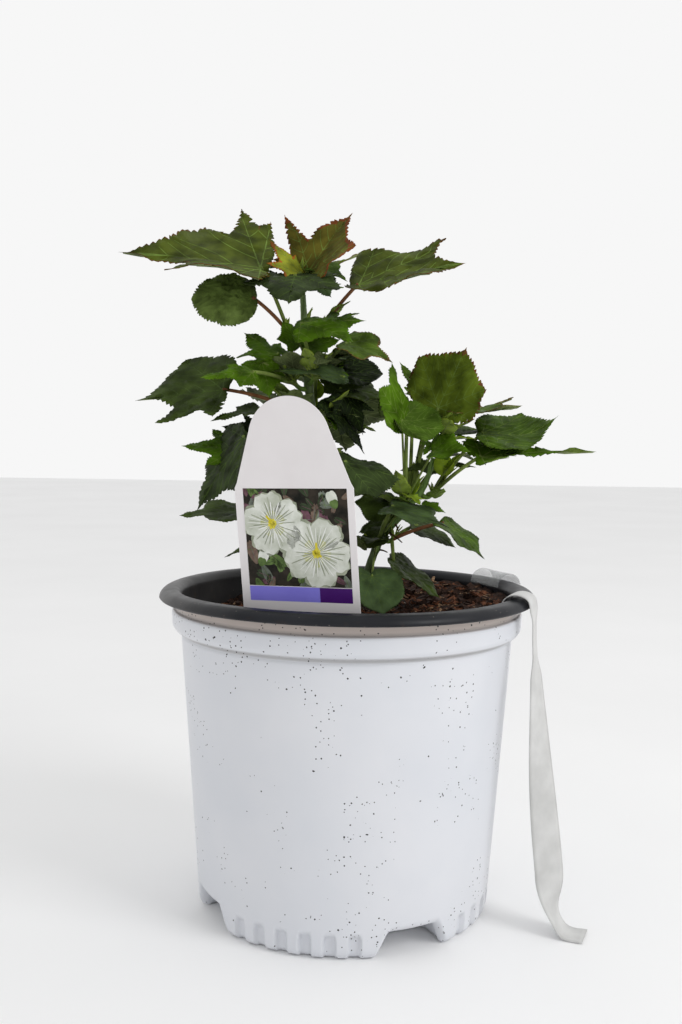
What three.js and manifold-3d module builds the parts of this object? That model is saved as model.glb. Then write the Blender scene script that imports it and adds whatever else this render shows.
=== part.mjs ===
// Hibiscus shrub in a nursery pot.
// A young plant with two shoots of large lobed leaves, growing in bark mix in a white pot
// with a rolled black rim. A picture label stands in the mix, a strap label hangs on the rim.
//
// Millimetres, +Z up. The origin is on the pot's axis at ground level, the front is -Y.
// Bearings are degrees seen from above, 0 along +X, 90 along +Y, so 270 is the front.

import * as THREE from 'three';
import { mergeVertices } from 'three/addons/utils/BufferGeometryUtils.js';
import Module from 'manifold-3d';

const wasm = await Module();
wasm.setup();

// Driving sizes

const POT_HEIGHT = 206;          // to the crest of the rolled rim
const RIM_RADIUS = 120;          // outside of the rolled rim
const BASE_RADIUS = 93.9;        // wall just above the rounded foot
const WALL_SLOPE = 0.0715;       // growth of the wall's radius for each millimetre of height
const WALL = 2.4;                // thickness of the white wall
const LINING = 1.3;              // thickness of the black inner layer
const CLEAR = 0.3;               // gap between pieces that touch
const SOIL_LEVEL = 188;          // height of the mix at the stems
const SOIL_SLOPE = 0.11;         // the mix is banked up towards this bearing
const SOIL_BEARING = 35;
const CROWN_FLAT = 17;           // radius of the level patch that the stems rise from
const ROUND = 32;                // facets round the pot

const STALK_RADIUS = 1.15;       // leaf stalk
const SPUR_RADIUS = 1.7;         // side shoot that carries the stalks of one mass
const BLADE_RATIO = 0.013;       // thickness of a blade for each millimetre of its length
const BLADE_MIN = 0.55;
const MIDRIB_CENTRE = 0.25;      // share of the midrib from which a blade's faces spread

const rad = THREE.MathUtils.degToRad;
const at = (x, y, z) => new THREE.Vector3(x, y, z);
const wallRadius = (z) => BASE_RADIUS + WALL_SLOPE * (z - 8);

// Horizontal unit vector of a bearing

function towards(bearing) {
  return at(Math.cos(rad(bearing)), Math.sin(rad(bearing)), 0);
}

// Solids from closed geometries and back

function solid(geometry) {
  const bare = geometry.index ? geometry.clone() : geometry;
  bare.deleteAttribute('normal');
  bare.deleteAttribute('uv');
  const merged = mergeVertices(bare, 1e-4);
  const index = merged.index.array;
  const triangles = [];
  for (let i = 0; i < index.length; i += 3) {
    const [a, b, c] = [index[i], index[i + 1], index[i + 2]];
    if (a !== b && b !== c && c !== a) triangles.push(a, b, c);
  }
  return new wasm.Manifold(new wasm.Mesh({
    numProp: 3,
    vertProperties: new Float32Array(merged.attributes.position.array),
    triVerts: new Uint32Array(triangles),
  }));
}

function joined(solids) {
  return solids.reduce((whole, piece) => whole.add(piece));
}

// The largest closed piece, with sealed hollows and loose scraps left out

function largest(whole) {
  return whole.decompose().reduce((best, piece) => (piece.volume() > best.volume() ? piece : best));
}

function geometryOf(whole) {
  const mesh = whole.getMesh();
  const geometry = new THREE.BufferGeometry();
  geometry.setAttribute('position', new THREE.BufferAttribute(mesh.vertProperties, 3));
  geometry.setIndex(new THREE.BufferAttribute(mesh.triVerts, 1));
  geometry.computeVertexNormals();
  return geometry;
}

function material(color, roughness, extra = {}) {
  return new THREE.MeshStandardMaterial({ color, roughness, metalness: 0, ...extra });
}

const object = new THREE.Group();

function addNode(name, whole, look) {
  const mesh = new THREE.Mesh(geometryOf(whole), look);
  mesh.name = name;
  object.add(mesh);
  return mesh;
}

// A solid of revolution about Z, from a closed outline of [radius, height] pairs

function turned(outline) {
  const points = outline.map(([r, z]) => new THREE.Vector2(r, z));
  const geometry = new THREE.LatheGeometry(points, ROUND);
  geometry.rotateX(Math.PI / 2);
  const whole = solid(geometry);
  return whole.volume() > 0 ? whole : solid(turnedInsideOut(geometry));
}

function turnedInsideOut(geometry) {
  const index = geometry.index.array;
  for (let i = 0; i < index.length; i += 3) {
    [index[i + 1], index[i + 2]] = [index[i + 2], index[i + 1]];
  }
  return geometry;
}

// Points on an arc in the [radius, height] plane, angles in degrees from the outward direction

function arc(r, z, radius, from, to, steps) {
  const points = [];
  for (let i = 0; i <= steps; i += 1) {
    const angle = rad(from + (to - from) * i / steps);
    points.push([r + radius * Math.cos(angle), z + radius * Math.sin(angle)]);
  }
  return points;
}

// A limb with a round section that tapers along a path

function limb(path, radiusAt, sides, steps) {
  const length = path.getLength();
  const outline = [new THREE.Vector2(0, 0)];
  for (let i = 0; i <= steps; i += 1) {
    outline.push(new THREE.Vector2(radiusAt(i / steps, length), length * i / steps));
  }
  outline.push(new THREE.Vector2(0, length));
  const geometry = new THREE.LatheGeometry(outline, sides);
  const place = geometry.attributes.position;
  for (let i = 0; i < place.count; i += 1) {
    const share = THREE.MathUtils.clamp(place.getY(i) / length, 0, 1);
    const centre = path.getPointAt(share);
    const along = path.getTangentAt(share);
    const across = at(0.31, 0.95, 0).cross(along).normalize();
    const other = across.clone().cross(along);
    centre.addScaledVector(across, place.getX(i)).addScaledVector(other, place.getZ(i));
    place.setXYZ(i, centre.x, centre.y, centre.z);
  }
  const whole = solid(geometry);
  return whole.volume() > 0 ? whole : solid(turnedInsideOut(geometry));
}

// A flat strip that follows a path, its width lying along the side vector at each point.
// A crowding above 1 sets more of the steps near the start.

function strip(path, thickness, widthAt, sideAt, steps, crowding = 1) {
  const geometry = new THREE.BoxGeometry(1, 1, 1, 1, 1, steps);
  const place = geometry.attributes.position;
  for (let i = 0; i < place.count; i += 1) {
    const share = THREE.MathUtils.clamp(place.getZ(i) + 0.5, 0, 1) ** crowding;
    const centre = path.getPointAt(share);
    const along = path.getTangentAt(share);
    const side = sideAt(share);
    side.addScaledVector(along, -side.dot(along)).normalize();
    const face = along.clone().cross(side);
    centre.addScaledVector(side, place.getX(i) * widthAt(share));
    centre.addScaledVector(face, place.getY(i) * thickness);
    place.setXYZ(i, centre.x, centre.y, centre.z);
  }
  return solid(geometry);
}

// Pot: white wall with a stepped collar, standing on four fluted feet

const BAND_LOW = 177;            // where the wall steps out below the collar band
const BAND_HIGH = 191.9;         // ridge at the top of the band
const WALL_TOP = 199.7;
const FLOOR = 3;
const ARCH = { first: -63, inner: 62, height: 15, low: 25, high: 17, corner: 5 };
const FLUTE = { radius: 6, depth: 1.6, top: 9, tilt: 24, length: 24, spacing: 9, count: 6 };
const COLLAR_STEP = 4.1;         // how far the inside steps out behind the band

function potOutside() {
  return [
    [0, 0], [87, 0], ...arc(87, 6.6, 6.6, -60, 0, 2),
    [wallRadius(BAND_LOW), BAND_LOW], [106.8, 178.6], [110.6, 180.8], [111.6, 185], [111.5, BAND_HIGH],
    [109.9, 192.8], [109.7, WALL_TOP], [0, WALL_TOP],
  ];
}

function cavity(shrink, floor) {
  const upper = wallRadius(BAND_LOW) - WALL - shrink;
  return [
    [0, floor], [81 - shrink, floor], ...arc(81 - shrink, floor + 9.5, 9.5, -60, -15, 2),
    [wallRadius(20) - WALL - shrink, 20], [upper, BAND_LOW], [upper + COLLAR_STEP, BAND_LOW + 4.5],
    [upper + COLLAR_STEP, POT_HEIGHT + 4], [0, POT_HEIGHT + 4],
  ];
}

// The arch between two feet, grown on every side by a margin

function arches(margin) {
  const half = (width) => width + margin;
  const top = ARCH.height + margin;
  const shape = new THREE.Shape();
  shape.moveTo(-half(ARCH.low) - 2, -2);
  shape.lineTo(half(ARCH.low) + 2, -2);
  shape.lineTo(half(ARCH.high), top - ARCH.corner);
  shape.quadraticCurveTo(half(ARCH.high) - 1.5, top, half(ARCH.high) - 1.5 - ARCH.corner, top);
  shape.lineTo(-half(ARCH.high) + 1.5 + ARCH.corner, top);
  shape.quadraticCurveTo(-half(ARCH.high) + 1.5, top, -half(ARCH.high), top - ARCH.corner);
  const cuts = [];
  for (let quarter = 0; quarter < 4; quarter += 1) {
    const depth = 110 - ARCH.inner + margin;
    const geometry = new THREE.ExtrudeGeometry(shape, { depth, bevelEnabled: false, curveSegments: 2 });
    geometry.rotateX(Math.PI / 2);
    geometry.translate(0, -ARCH.inner + margin, 0);
    geometry.rotateZ(rad(ARCH.first + 90 * quarter));
    cuts.push(solid(geometry));
  }
  return joined(cuts);
}

function flutes() {
  const cuts = [];
  for (let quarter = 0; quarter < 4; quarter += 1) {
    for (let i = 0; i < FLUTE.count; i += 1) {
      const geometry = new THREE.CapsuleGeometry(FLUTE.radius, FLUTE.length, 2, 8);
      geometry.rotateX(Math.PI / 2);
      geometry.translate(0, 0, -FLUTE.length / 2);
      geometry.rotateX(rad(FLUTE.tilt));
      geometry.translate(0, -wallRadius(FLUTE.top) - FLUTE.radius + FLUTE.depth, FLUTE.top);
      const middle = ARCH.first + 45 + 90 * quarter;
      geometry.rotateZ(rad(middle + FLUTE.spacing * (i - (FLUTE.count - 1) / 2)));
      cuts.push(solid(geometry));
    }
  }
  return joined(cuts);
}

function pot() {
  const outside = turned(potOutside()).subtract(arches(0)).subtract(flutes());
  const inside = turned(cavity(0, FLOOR)).subtract(arches(WALL));
  return largest(outside.subtract(inside));
}

// Rim: black inner layer that rolls outwards over the top of the wall

function potRim() {
  const low = 150;
  const lower = wallRadius(low) - WALL - CLEAR;
  const upper = wallRadius(BAND_LOW) - WALL - CLEAR;
  const collar = upper + COLLAR_STEP;
  return turned([
    [lower, low], [upper, BAND_LOW], [collar, BAND_LOW + 4.5], [collar, WALL_TOP + CLEAR],
    [113, 200.2], [116.6, 200.7], [117.4, 199.7], [119, 199.4], ...arc(RIM_RADIUS - 6, 199.6, 6, 8, 90, 3),
    ...arc(collar - LINING + 6.6, 200.4, 5.6, 120, 180, 3).map(([r, z]) => [r - 1, z]),
    [collar - LINING, WALL_TOP], [collar - LINING, BAND_LOW + 4.5], [upper - LINING, BAND_LOW],
    [lower - LINING, low], [lower, low],
  ]);
}

// Soil: bark mix that fills the pot, level at the stems and banked up at the back right

function soilHeight(x, y) {
  const ramp = THREE.MathUtils.clamp((Math.hypot(x, y) - CROWN_FLAT) / 20, 0, 1);
  const uphill = towards(SOIL_BEARING);
  const lumps = 0.9 * Math.sin(x * 0.13 + 1) * Math.cos(y * 0.11) + 0.6 * Math.sin(x * 0.05 - y * 0.19);
  return SOIL_LEVEL + ramp * (SOIL_SLOPE * (x * uphill.x + y * uphill.y) + lumps);
}

function soil(labelSlot) {
  const sky = new THREE.BoxGeometry(260, 260, 60, 11, 11, 1);
  const place = sky.attributes.position;
  for (let i = 0; i < place.count; i += 1) {
    const [x, y, z] = [place.getX(i), place.getY(i), place.getZ(i)];
    place.setZ(i, z < 0 ? soilHeight(x, y) : SOIL_LEVEL + 60);
  }
  const filling = turned(cavity(LINING + 2 * CLEAR, FLOOR + CLEAR)).subtract(arches(WALL + CLEAR));
  return largest(filling.subtract(solid(sky)).subtract(labelSlot));
}

// Stems: two tapering shoots from one crown, each with a flat foot on the mix

const STEM_FOOT = SOIL_LEVEL + CLEAR;
const STEMS = {
  main: {
    path: new THREE.CatmullRomCurve3([
      at(-6, 6, STEM_FOOT), at(-12, 4, 235), at(-20, 2, 290), at(-28, 0, 345), at(-31, 0, 391),
    ]),
    foot: 4.2, tip: 1.9, flare: 2.0,
  },
  right: {
    path: new THREE.CatmullRomCurve3([
      at(6, 4, STEM_FOOT), at(20, 1, 234), at(34, 0, 252), at(48, 0, 270), at(54, 0, 289),
    ]),
    foot: 3.1, tip: 1.5, flare: 1.4,
  },
};

function stemRadius(stem, share, length) {
  return stem.foot + (stem.tip - stem.foot) * share + stem.flare * Math.exp(-share * length / 7);
}

function stem(name) {
  const { path } = STEMS[name];
  const whole = limb(path, (share, length) => stemRadius(STEMS[name], share, length), 8, 14);
  const ground = new THREE.BoxGeometry(60, 60, 20);
  ground.translate(0, 0, STEM_FOOT - 10);
  return whole.subtract(solid(ground));
}

// The place on a stem at a height, found by halving

function stemAt(name, height) {
  const { path } = STEMS[name];
  let [low, high] = [0, 1];
  for (let i = 0; i < 24; i += 1) {
    const middle = (low + high) / 2;
    if (path.getPointAt(middle).z < height) low = middle;
    else high = middle;
  }
  return low;
}

// Blades: outline as [degrees from the midrib, share of the length] round the stalk's joint

const BLADES = {
  lobed: [[0, 1], [11, 0.78], [29, 0.5], [49, 0.76], [58, 0.57], [70, 0.44], [90, 0.52], [104, 0.3],
    [180, 0.06]],
  broad: [[0, 1], [12, 0.83], [30, 0.7], [50, 0.84], [62, 0.68], [92, 0.62], [108, 0.38], [180, 0.07]],
  long: [[0, 1], [9, 0.72], [28, 0.45], [46, 0.54], [58, 0.4], [88, 0.37], [106, 0.22], [180, 0.06]],
  kite: [[0, 1], [9, 0.8], [26, 0.745], [44, 0.72], [50, 0.7], [58, 0.52], [75, 0.88], [83, 0.585],
    [91, 0.71], [108, 0.26],
    [180, 0.06]],
  cleft: [[0, 1], [13, 0.8], [32, 0.44], [54, 0.88], [62, 0.64], [76, 0.42], [98, 0.58], [112, 0.32],
    [180, 0.06]],
  twin: [[0, 1], [5, 0.85], [17, 0.77], [34, 1], [50, 0.7], [91, 0.58], [100, 0.42], [120, 0.2], [180, 0.07]],
  full: [[0, 1], [15, 0.86], [37, 0.83], [49, 0.87], [70, 0.74], [96, 0.5], [112, 0.3], [180, 0.08]],
  sliver: [[0, 1], [6, 0.6], [13, 0.42], [24, 0.32], [76, 0.22], [116, 0.16], [180, 0.05]],
  tail: [[0, 1], [6, 0.59], [13, 0.41], [24, 0.33], [46, 0.42], [76, 0.3], [96, 0.34], [116, 0.28],
    [180, 0.05]],
  wing: [[0, 1], [9, 0.68], [27, 0.54], [43, 0.82], [52, 0.62], [70, 0.45], [90, 0.52], [104, 0.3],
    [180, 0.06]],
  ledge: [[0, 1], [5, 0.86], [24, 0.83], [33, 0.83], [44, 0.6], [54, 0.46], [90, 0.27], [120, 0.2],
    [180, 0.07]],
  shield: [[0, 1], [34, 0.93], [54, 0.8], [72, 0.62], [90, 0.44], [112, 0.22], [180, 0.08]],
  round: [[0, 1], [25, 0.93], [50, 0.88], [80, 0.78], [108, 0.58], [135, 0.3], [180, 0.1]],
  young: [[0, 1], [22, 0.6], [60, 0.4], [110, 0.2], [180, 0.1]],
};

// The three directions of a blade: along the midrib, to its left side, and out of its upper face

function bladeFrame(leaf) {
  const flat = towards(leaf.bearing);
  const along = flat.clone().multiplyScalar(Math.cos(rad(leaf.pitch)));
  along.z = Math.sin(rad(leaf.pitch));
  const level = at(-flat.y, flat.x, 0);
  const up = along.clone().cross(level);
  const side = level.clone().multiplyScalar(Math.cos(rad(leaf.roll)));
  side.addScaledVector(up, Math.sin(rad(leaf.roll)));
  return { along, side, up: along.clone().cross(side) };
}

function blade(leaf, heart) {
  const { along, side, up } = bladeFrame(leaf);
  const left = BLADES[leaf.left ?? leaf.shape];
  const right = BLADES[leaf.shape].slice(1, -1).reverse().map(([angle, share]) => [-angle, share]);
  const rim = [...left, ...right];
  const thickness = Math.max(BLADE_MIN, BLADE_RATIO * leaf.length);
  const points = [];
  const addPoint = (x, y, offset) => {
    const curl = leaf.curl * Math.max(0, x - 0.45) ** 2 + leaf.cup * (x * x + 1.3 * y * y);
    const lift = leaf.fold * Math.abs(y) - leaf.droop * x * Math.abs(x) + leaf.twist * x * y + curl;
    const point = heart.clone();
    point.addScaledVector(along, leaf.length * x).addScaledVector(side, leaf.length * y);
    point.addScaledVector(up, leaf.length * lift + offset);
    points.push(point.x, point.y, point.z);
  };
  for (const offset of [thickness / 2, -thickness / 2]) {
    addPoint(MIDRIB_CENTRE, 0, offset);
    for (const [angle, share] of rim) {
      addPoint(share * Math.cos(rad(angle)), share * Math.sin(rad(angle)), offset);
    }
  }
  const count = rim.length;
  const index = [];
  for (let i = 0; i < count; i += 1) {
    const [top, next] = [1 + i, 1 + (i + 1) % count];
    const [under, underNext] = [top + count + 1, next + count + 1];
    index.push(0, top, next);
    index.push(count + 1, underNext, under);
    index.push(top, under, underNext, top, underNext, next);
  }
  const geometry = new THREE.BufferGeometry();
  geometry.setAttribute('position', new THREE.BufferAttribute(new Float32Array(points), 3));
  geometry.setIndex(index);
  return solid(geometry);
}

// Masses of leaves. Each leaf is placed from the stem where its mass springs: the joint of
// stalk and blade lies `reach` out along `out`, at height `up`, and the blade points along
// `bearing`, raised by `pitch` and turned about its midrib by `roll`. The bends may also hold
// twist, cup and curl, and the shape of a left half that differs.

function leaf(shape, [out, reach, up], [bearing, pitch, roll], length, fold = 0.1, droop = 0.1, bends = {}) {
  const plain = { twist: 0, cup: 0, curl: 0 };
  return { shape, out, reach, up, bearing, pitch, roll, length, fold, droop, ...plain, ...bends };
}

// Repeatable random numbers between 0 and 1

function dice(seed) {
  let state = seed;
  return () => {
    state = (state * 1664525 + 1013904223) % 4294967296;
    return state / 4294967296;
  };
}

// Leaves spread evenly round a side of the plant that the front hides

function fan({ seed, count, side, spread, reach, up, length, rise = 14 }) {
  const roll = dice(seed);
  const near = (value, share) => value * (1 + share * (roll() - 0.5));
  const leaves = [];
  for (let i = 0; i < count; i += 1) {
    const out = side + spread * (i / Math.max(1, count - 1) - 0.5) + 16 * (roll() - 0.5);
    const height = up + rise * (i % 2 ? 1 : -1) + 6 * (roll() - 0.5);
    const turn = [out + 30 * (roll() - 0.5), -12 + 26 * (roll() - 0.5), 30 * (roll() - 0.5)];
    const shape = ['lobed', 'broad', 'long'][Math.floor(3 * roll())];
    leaves.push(leaf(shape, [out, near(reach, 0.3), height], turn, near(length, 0.35), 0.15, 0.15));
  }
  return leaves;
}

const MASSES = [
  {
    name: 'top_leaves', stem: 'main', from: 'tip', side: 100, spur: 13, young: 2, seed: 11,
    leaves: [
      leaf('broad', [303, 6, 405], [5, 58, 39], 47, 0.35, 0.1, { left: 'cleft', twist: 0.21 }),
      leaf('lobed', [262, 12, 403], [168, 52, -19], 29, -0.2, 0.1, { twist: -0.22 }),
      leaf('broad', [259, 22, 400], [268, -17, 0], 45, 0, 0.2, { twist: -0.04 }),
      leaf('sliver', [80, 14, 403], [22, 30, 10], 46, 0.15, 0.05, { left: 'long' }),
    ],
  },
  {
    name: 'upper_left_leaves', stem: 'main', from: 364, side: 200, spur: 12, young: 0, seed: 12,
    leaves: [
      leaf('kite', [209, 31, 406], [184, 7.4, -24], 88, 0.2, 0.05, { left: 'wing', twist: -0.06 }),
      leaf('shield', [219, 40, 386], [200, 11, -53], 35, 0.07, 0.1, { cup: -0.3, twist: 0.05 }),
    ],
  },
  {
    name: 'upper_right_leaves', stem: 'main', from: 364, side: 350, spur: 10, young: 1, seed: 13,
    leaves: [
      leaf('ledge', [343, 35, 397], [349, 13, 28], 68, 0.16, 0.05, { left: 'twin', twist: -0.08 }),
    ],
  },
  {
    name: 'upper_back_leaves', stem: 'main', from: 372, side: 85, spur: 10, young: 0, seed: 14,
    leaves: [
      leaf('broad', [95, 40, 402], [88, 12, 8], 42, 0.15, 0.1),
      leaf('lobed', [98, 46, 414], [128, 16, -10], 44, 0.15, 0.1),
    ],
  },
  {
    name: 'middle_front_leaves', stem: 'main', from: 335, side: 290, spur: 9, young: 2, seed: 15,
    leaves: [
      leaf('twin', [262, 28, 371], [350, 7, 22], 40, -0.22, 0.1, { twist: 0.09 }),
      leaf('long', [307, 38, 338], [188, 10, -22], 40, 0.1, 0.1),
    ],
  },
  {
    name: 'middle_right_leaves', stem: 'main', from: 340, side: 5, spur: 8, young: 1, seed: 16,
    leaves: [
      leaf('broad', [328, 29, 360], [348, -12, 24], 31, 0.12, 0.2, { twist: 0.03 }),
      leaf('round', [23, 20, 343], [0, 4, 29], 30, 0.11, 0.1, { twist: 0.07 }),
    ],
  },
  {
    name: 'middle_left_leaves', stem: 'main', from: 332, side: 215, spur: 10, young: 1, seed: 17,
    leaves: [
      leaf('lobed', [219, 25, 353], [142, 26, -9], 32, -0.26, 0, { twist: -0.44 }),
      leaf('long', [231, 52, 340], [207, -3, -32], 33, -0.17, 0.1, { twist: -0.05 }),
    ],
  },
  {
    name: 'left_leaves', stem: 'main', from: 316, side: 200, spur: 9, young: 1, seed: 18,
    leaves: [
      leaf('full', [201, 59, 330], [169, -5, -38], 59, 0.04, 0.05, { left: 'wing', twist: 0.15 }),
      leaf('long', [205, 37, 318], [198, -9, -17], 31, 0.09, 0.1, { twist: -0.04 }),
    ],
  },
  {
    name: 'middle_back_leaves', stem: 'main', from: 312, side: 90, spur: 12, young: 1, seed: 19,
    leaves: fan({ seed: 9, count: 3, side: 95, spread: 50, reach: 34, up: 338, length: 48 }),
  },
  {
    name: 'right_front_leaves', stem: 'main', from: 306, side: 325, spur: 9, young: 1, seed: 20,
    leaves: [
      leaf('lobed', [312, 23, 315], [335, -47, 3], 30, 0.03, 0.1, { twist: -0.06 }),
      leaf('lobed', [335, 22, 329], [326, -59, 20], 29, -0.18, 0.1, { twist: 0.09 }),
      leaf('broad', [20, 54, 333], [341, -62, 19], 26, -0.3, 0.1, { twist: 0.23 }),
    ],
  },
  {
    name: 'lower_left_leaves', stem: 'main', from: 286, side: 205, spur: 9, young: 1, seed: 21,
    leaves: [
      leaf('lobed', [171, 37, 305], [190, 9, -42], 27, -0.17, 0.1, { twist: 0.09 }),
      leaf('lobed', [191, 53, 293], [184, 7, -34], 35, -0.04, 0.1),
      leaf('broad', [213, 55, 301], [186, -56, -20], 54, -0.03, 0.05),
    ],
  },
  {
    name: 'behind_label_leaves', stem: 'main', from: 272, side: 300, spur: 9, young: 1, seed: 22,
    leaves: [
      leaf('full', [286, 55, 287], [7, -12, 25], 36, -0.29, 0.1, { twist: 0.03 }),
      leaf('broad', [255, 34, 280], [250, -25, 10], 34, 0.1, 0.1),
    ],
  },
  {
    name: 'low_back_leaves', stem: 'main', from: 262, side: 105, spur: 10, young: 1, seed: 23,
    leaves: fan({ seed: 3, count: 3, side: 105, spread: 45, reach: 36, up: 276, length: 42 }),
  },
  {
    name: 'lowest_left_leaves', stem: 'main', from: 240, side: 190, spur: 8, young: 0, seed: 24,
    leaves: [
      leaf('broad', [194, 58, 253], [189, 2, -11], 38, 0.05, 0.1),
      leaf('long', [173, 50, 230], [189, -18, -15], 20, 0, 0.1),
    ],
  },
  {
    name: 'shoot_tip_leaves', stem: 'right', from: 'tip', side: 330, spur: 9, young: 2, seed: 25,
    leaves: [
      leaf('full', [292, 5, 321], [341, 65, 70], 42, 0.09, 0, { twist: 0.05 }),
      leaf('lobed', [51, 23, 317], [316, 6, 12], 54, 0.11, 0, { twist: -0.16 }),
      leaf('broad', [60, 26, 304], [45, 10, 5], 34, 0.15, 0.1),
    ],
  },
  {
    name: 'shoot_right_leaves', stem: 'right', from: 266, side: 355, spur: 9, young: 1, seed: 26,
    leaves: [
      leaf('full', [3, 40, 306], [358, -5, 19], 46, 0.06, -0.05, { curl: 1.0, twist: 0.11 }),
      leaf('sliver', [334, 41, 291], [2, 8, 25], 73, 0.14, 0.1, { left: 'tail', twist: -0.5 }),
    ],
  },
  {
    name: 'shoot_left_leaves', stem: 'right', from: 256, side: 255, spur: 8, young: 1, seed: 27,
    leaves: [
      leaf('long', [265, 26, 308], [133, 78, 18], 42, -0.07, 0.1, { left: 'broad' }),
      leaf('round', [259, 29, 313], [11, -33, 37], 24, -0.34, 0.1, { cup: 0.6, twist: 0.33 }),
    ],
  },
  {
    name: 'shoot_back_leaves', stem: 'right', from: 258, side: 85, spur: 9, young: 1, seed: 28,
    leaves: [
      leaf('long', [74, 56, 322], [136, 49, -4], 43, 0.17, 0),
      leaf('long', [48, 24, 282], [210, 1, -33], 25, 0.2, 0.1),
      leaf('broad', [62, 40, 328], [75, 12, 0], 34, 0.15, 0.15),
      leaf('long', [85, 37, 316], [84, 8, 0], 34, 0.15, 0.15),
      leaf('long', [48, 38, 290], [52, 4, 0], 36, 0.15, 0.15),
    ],
  },
  {
    name: 'shoot_low_right_leaves', stem: 'right', from: 237, side: 350, spur: 7, young: 0, seed: 29,
    leaves: [
      leaf('full', [348, 40, 248], [338, -33, 0], 35, 0.04, 0.1, { twist: -0.09 }),
      leaf('full', [319, 10, 223], [355, -32, 5], 38, 0.04, 0.1, { twist: 0.02 }),
      leaf('full', [40, 31, 244], [348, -23, 7], 30, 0, 0.1, { twist: -0.07 }),
    ],
  },
  {
    name: 'shoot_low_front_leaves', stem: 'right', from: 230, side: 270, spur: 7, young: 0, seed: 30,
    leaves: [
      leaf('broad', [284, 37, 260], [341, -13, 9], 38, 0, 0.1, { twist: -0.14 }),
      leaf('round', [266, 49, 218], [301, -50, -3], 25, 0.13, 0.1, { twist: 0.19 }),
    ],
  },
];

// Young leaves that crowd the end of a side shoot

function youngLeaves(mass, end, axis) {
  const roll = dice(mass.seed);
  const leaves = [];
  for (let i = 0; i < mass.young; i += 1) {
    const out = mass.side + 110 * ((i + 0.5) / mass.young - 0.5) + 20 * (roll() - 0.5);
    const joint = end.clone().addScaledVector(towards(out), 4 + 4 * roll());
    joint.z += 5 + 5 * roll();
    const item = leaf('young', [0, 0, 0], [out, 35 + 30 * roll(), 20 * (roll() - 0.5)], 13 + 8 * roll());
    leaves.push({ ...item, joint });
  }
  return leaves.filter((item) => item.joint.distanceTo(axis) > 5);
}

// The side shoot that carries a mass: where it starts, clear of its stem, and where it ends

function spurPath(mass) {
  const stemOf = STEMS[mass.stem];
  if (mass.from === 'tip') {
    const tip = stemOf.path.getPointAt(1);
    const along = stemOf.path.getTangentAt(1);
    const start = tip.clone().addScaledVector(along, CLEAR);
    const bend = start.clone().addScaledVector(along, mass.spur * 0.6);
    const end = bend.clone().addScaledVector(towards(mass.side), 1).add(at(0, 0, mass.spur * 0.4));
    return { axis: tip, path: new THREE.QuadraticBezierCurve3(start, bend, end) };
  }
  const share = stemAt(mass.stem, mass.from);
  const axis = stemOf.path.getPointAt(share);
  const radius = stemRadius(stemOf, share, stemOf.path.getLength());
  const away = towards(mass.side);
  const along = stemOf.path.getTangentAt(share);
  const square = away.clone().addScaledVector(along, -along.dot(away)).normalize();
  const start = axis.clone().addScaledVector(square, radius + CLEAR);
  const bend = start.clone().addScaledVector(square, mass.spur * 0.5);
  const end = bend.clone().addScaledVector(away, mass.spur * 0.35).add(at(0, 0, mass.spur * 0.5));
  return { axis, path: new THREE.QuadraticBezierCurve3(start, bend, end) };
}

function stalk(from, to, radius) {
  const middle = from.clone().lerp(to, 0.5);
  middle.z += 0.08 * from.distanceTo(to);
  const path = new THREE.QuadraticBezierCurve3(from, middle, to);
  return limb(path, (share) => radius * (1.15 - 0.2 * share), radius < 1 ? 3 : 4, 2);
}

function foliage(mass) {
  const { axis, path } = spurPath(mass);
  const end = path.getPointAt(1);
  const pieces = [limb(path, (share) => SPUR_RADIUS * (1 - 0.2 * share), 5, 2)];
  const placed = mass.leaves.map((item) => {
    const joint = at(axis.x, axis.y, item.up).addScaledVector(towards(item.out), item.reach);
    return { ...item, joint };
  });
  for (const item of [...placed, ...youngLeaves(mass, end, axis)]) {
    const small = item.shape === 'young';
    const inward = path.getPointAt(0.75);
    const through = item.joint.clone().addScaledVector(bladeFrame(item).up, 0.3);
    pieces.push(stalk(inward, through, small ? 0.7 : STALK_RADIUS));
    pieces.push(blade(item, item.joint));
  }
  return largest(joined(pieces));
}

// Picture label: a thin card with a domed head and a pointed stake, leaning to the left

const LABEL = { y: -75, x: -20.9, foot: 130, half: 35.8, lean: -1.6, ahead: 7.9, turn: -19, thick: 0.8 };
const LABEL_STAKE = 62;          // height of the card's lower edge above the stake's point
const LABEL_SHOULDER = 146.5;    // height of the step under the head
const LABEL_DOME = 24.6;         // radius of the domed top
const LABEL_TOP = 196.2;

function labelOutline(grow) {
  const shape = new THREE.Shape();
  const half = LABEL.half + grow;
  const dome = LABEL_DOME + grow;
  shape.moveTo(-1.5 - grow, -grow);
  shape.lineTo(1.5 + grow, -grow);
  shape.lineTo(8 + grow, 32);
  shape.lineTo(half, LABEL_STAKE);
  shape.lineTo(half, LABEL_SHOULDER - 2);
  shape.lineTo(half - 1.6, LABEL_SHOULDER + 1);
  shape.absarc(-0.6, LABEL_TOP - LABEL_DOME, dome, rad(14), rad(166), false);
  shape.lineTo(-half + 1.6, LABEL_SHOULDER + 1);
  shape.lineTo(-half, LABEL_SHOULDER - 2);
  shape.lineTo(-half, LABEL_STAKE);
  shape.lineTo(-8 - grow, 32);
  return shape;
}

function label(grow) {
  const depth = LABEL.thick + 2 * grow;
  const options = { depth, bevelEnabled: false, curveSegments: 9 };
  const geometry = new THREE.ExtrudeGeometry(labelOutline(grow), options);
  geometry.translate(0, 0, -depth / 2);
  geometry.rotateX(Math.PI / 2 + rad(LABEL.ahead));
  geometry.rotateY(rad(LABEL.lean));
  geometry.rotateZ(rad(LABEL.turn));
  geometry.translate(LABEL.x, LABEL.y, LABEL.foot);
  return solid(geometry);
}

// Strap label: a ribbon hooked over the rim that hangs down outside and turns out at the floor

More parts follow.
